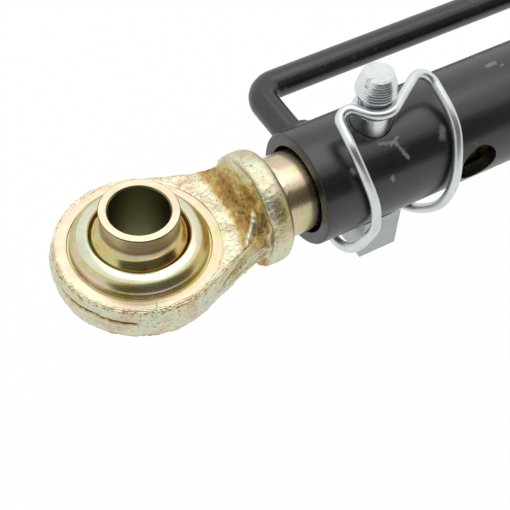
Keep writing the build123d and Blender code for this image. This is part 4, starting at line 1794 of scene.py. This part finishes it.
# %% Floor and backdrop
PULL_ROOM = 135.0
floor_height = pin_low.z - PULL_ROOM
floor_half = 3000.0
floor = make_piece(
    "studio_floor",
    [(x * floor_half, y * floor_half, floor_height) for x, y in ((-1, -1), (1, -1), (1, 1), (-1, 1))],
    [(0, 1, 2, 3)],
)
floor_white, floor_tree, floor_shader = new_material("white_floor")
floor_shader.inputs["Base Color"].default_value = (0.9, 0.9, 0.9, 1)
floor_shader.inputs["Roughness"].default_value = 0.8
floor_rays = put(floor_tree, "LightPath").outputs
floor_glow = put(floor_tree, "Emission", {"Color": (1, 1, 1, 1), "Strength": 1.0})
floor_mirrored = sums(floor_tree, "MAXIMUM", floor_rays["Is Glossy Ray"], floor_rays["Is Transmission Ray"])
floor_share = sums(floor_tree, "MULTIPLY", floor_rays["Is Camera Ray"], 0.96)
floor_share = sums(floor_tree, "MULTIPLY_ADD", floor_mirrored, 0.45, floor_share)
floor_mix = put(
    floor_tree, "MixShader", {0: floor_share, 1: floor_shader.outputs[0], 2: floor_glow.outputs[0]}
)
floor_tree.links.new(floor_mix.outputs[0], floor_tree.nodes["Material Output"].inputs["Surface"])
floor.data.materials.append(floor_white)

world = bpy.data.worlds.new("studio")
bpy.context.scene.world = world
world.use_nodes = True
world_tree = world.node_tree
world_rays = put(world_tree, "LightPath").outputs
world_seen = sums(
    world_tree,
    "MAXIMUM",
    world_rays["Is Camera Ray"],
    sums(world_tree, "MAXIMUM", world_rays["Is Glossy Ray"], world_rays["Is Transmission Ray"]),
)
world_soft = world_tree.nodes["Background"]
world_soft.inputs["Color"].default_value = (1, 1, 1, 1)
world_soft.inputs["Strength"].default_value = 0.7
world_white = put(world_tree, "Background", {"Color": (1, 1, 1, 1), "Strength": 1.0})
world_mix = put(
    world_tree, "MixShader", {0: world_seen, 1: world_soft.outputs[0], 2: world_white.outputs[0]}
)
world_tree.links.new(world_mix.outputs[0], world_tree.nodes["World Output"].inputs["Surface"])

# %% [markdown]
# Lamps are placed by the direction they stand in and their distance, and they
# all face the link. Only the top lamp shows in the gloss, as the bright streak
# along the top of the tube. The others give the soft light and the faint
# shadow, and are kept out of the gloss so that they burn no white spots into
# the pale zinc.

# %% Lamps
lamp_aim = Vector((60.0, 0, 0))


def direction(azimuth, elevation):
    """A unit vector: azimuth 0 is -Y, 90 is +X, and 90 of elevation is up."""
    turn, rise = math.radians(azimuth), math.radians(elevation)
    return Vector((math.sin(turn) * math.cos(rise), -math.cos(turn) * math.cos(rise), math.sin(rise)))


def soft_lamp(name, azimuth, elevation, distance, width, height, power, in_gloss):
    """A rectangular lamp that faces the link, and shows in its gloss or doesn't."""
    lamp = bpy.data.lights.new(name, "AREA")
    lamp.shape = "RECTANGLE"
    lamp.size, lamp.size_y = width * MM, height * MM
    lamp.energy = power
    holder = bpy.data.objects.new(name, lamp)
    toward = direction(azimuth, elevation)
    holder.location = (lamp_aim + toward * distance) * MM
    holder.rotation_euler = toward.to_track_quat("Z", "Y").to_euler()
    holder.visible_glossy = in_gloss
    bpy.context.scene.collection.objects.link(holder)
    return holder


soft_lamp("top_lamp", 132, 76, 900, 820, 820, 2.0, in_gloss=True)
soft_lamp("fill_lamp", 150, 62, 900, 900, 700, 0.8, in_gloss=False)
soft_lamp("left_lamp", -110, 30, 900, 700, 500, 1.2, in_gloss=False)
soft_lamp("right_lamp", 65, 28, 900, 700, 500, 1.2, in_gloss=False)

# %% Dark card
card_half_width = 1500.0
card_half_height = 480.0
card_centre = lamp_aim + direction(-8, 34) * 950
card_turn = direction(-8, 34).to_track_quat("Z", "Y").to_matrix()
dark_card = make_piece(
    "dark_card",
    [
        card_centre + card_turn @ Vector((x * card_half_width, y * card_half_height, 0))
        for x, y in ((-1, -1), (1, -1), (1, 1), (-1, 1))
    ],
    [(0, 1, 2, 3)],
)
card_black, _, card_shader = new_material("black_card")
card_shader.inputs["Base Color"].default_value = (0.11, 0.10, 0.09, 1)
card_shader.inputs["Roughness"].default_value = 1.0
dark_card.data.materials.append(card_black)
dark_card.visible_camera = False
dark_card.visible_shadow = False
dark_card.visible_diffuse = False

# %% [markdown]
# ## The camera
#
# The camera was found by matching the outlines of the tube, the eye and the
# pin to the photograph. Its place, the point it looks at, its tilt and its
# lens follow from that.

# %% The camera
camera_data = bpy.data.cameras.new("camera")
camera_data.lens = 95.7
camera_data.sensor_width = 36.0
camera = bpy.data.objects.new("camera", camera_data)
camera_place = Vector((-143.08, -273.71, 381.46))
camera_aim = Vector((36.73, -19.77, 0.0))
camera_tilt = math.radians(5.185)
look = (camera_aim - camera_place).to_track_quat("-Z", "Y").to_matrix()
tilted_look = look @ Matrix.Rotation(camera_tilt, 3, "Z")
camera.matrix_world = Matrix.Translation(camera_place * MM) @ tilted_look.to_4x4()
bpy.context.scene.collection.objects.link(camera)
bpy.context.scene.camera = camera
bpy.context.scene.view_settings.view_transform = "Standard"
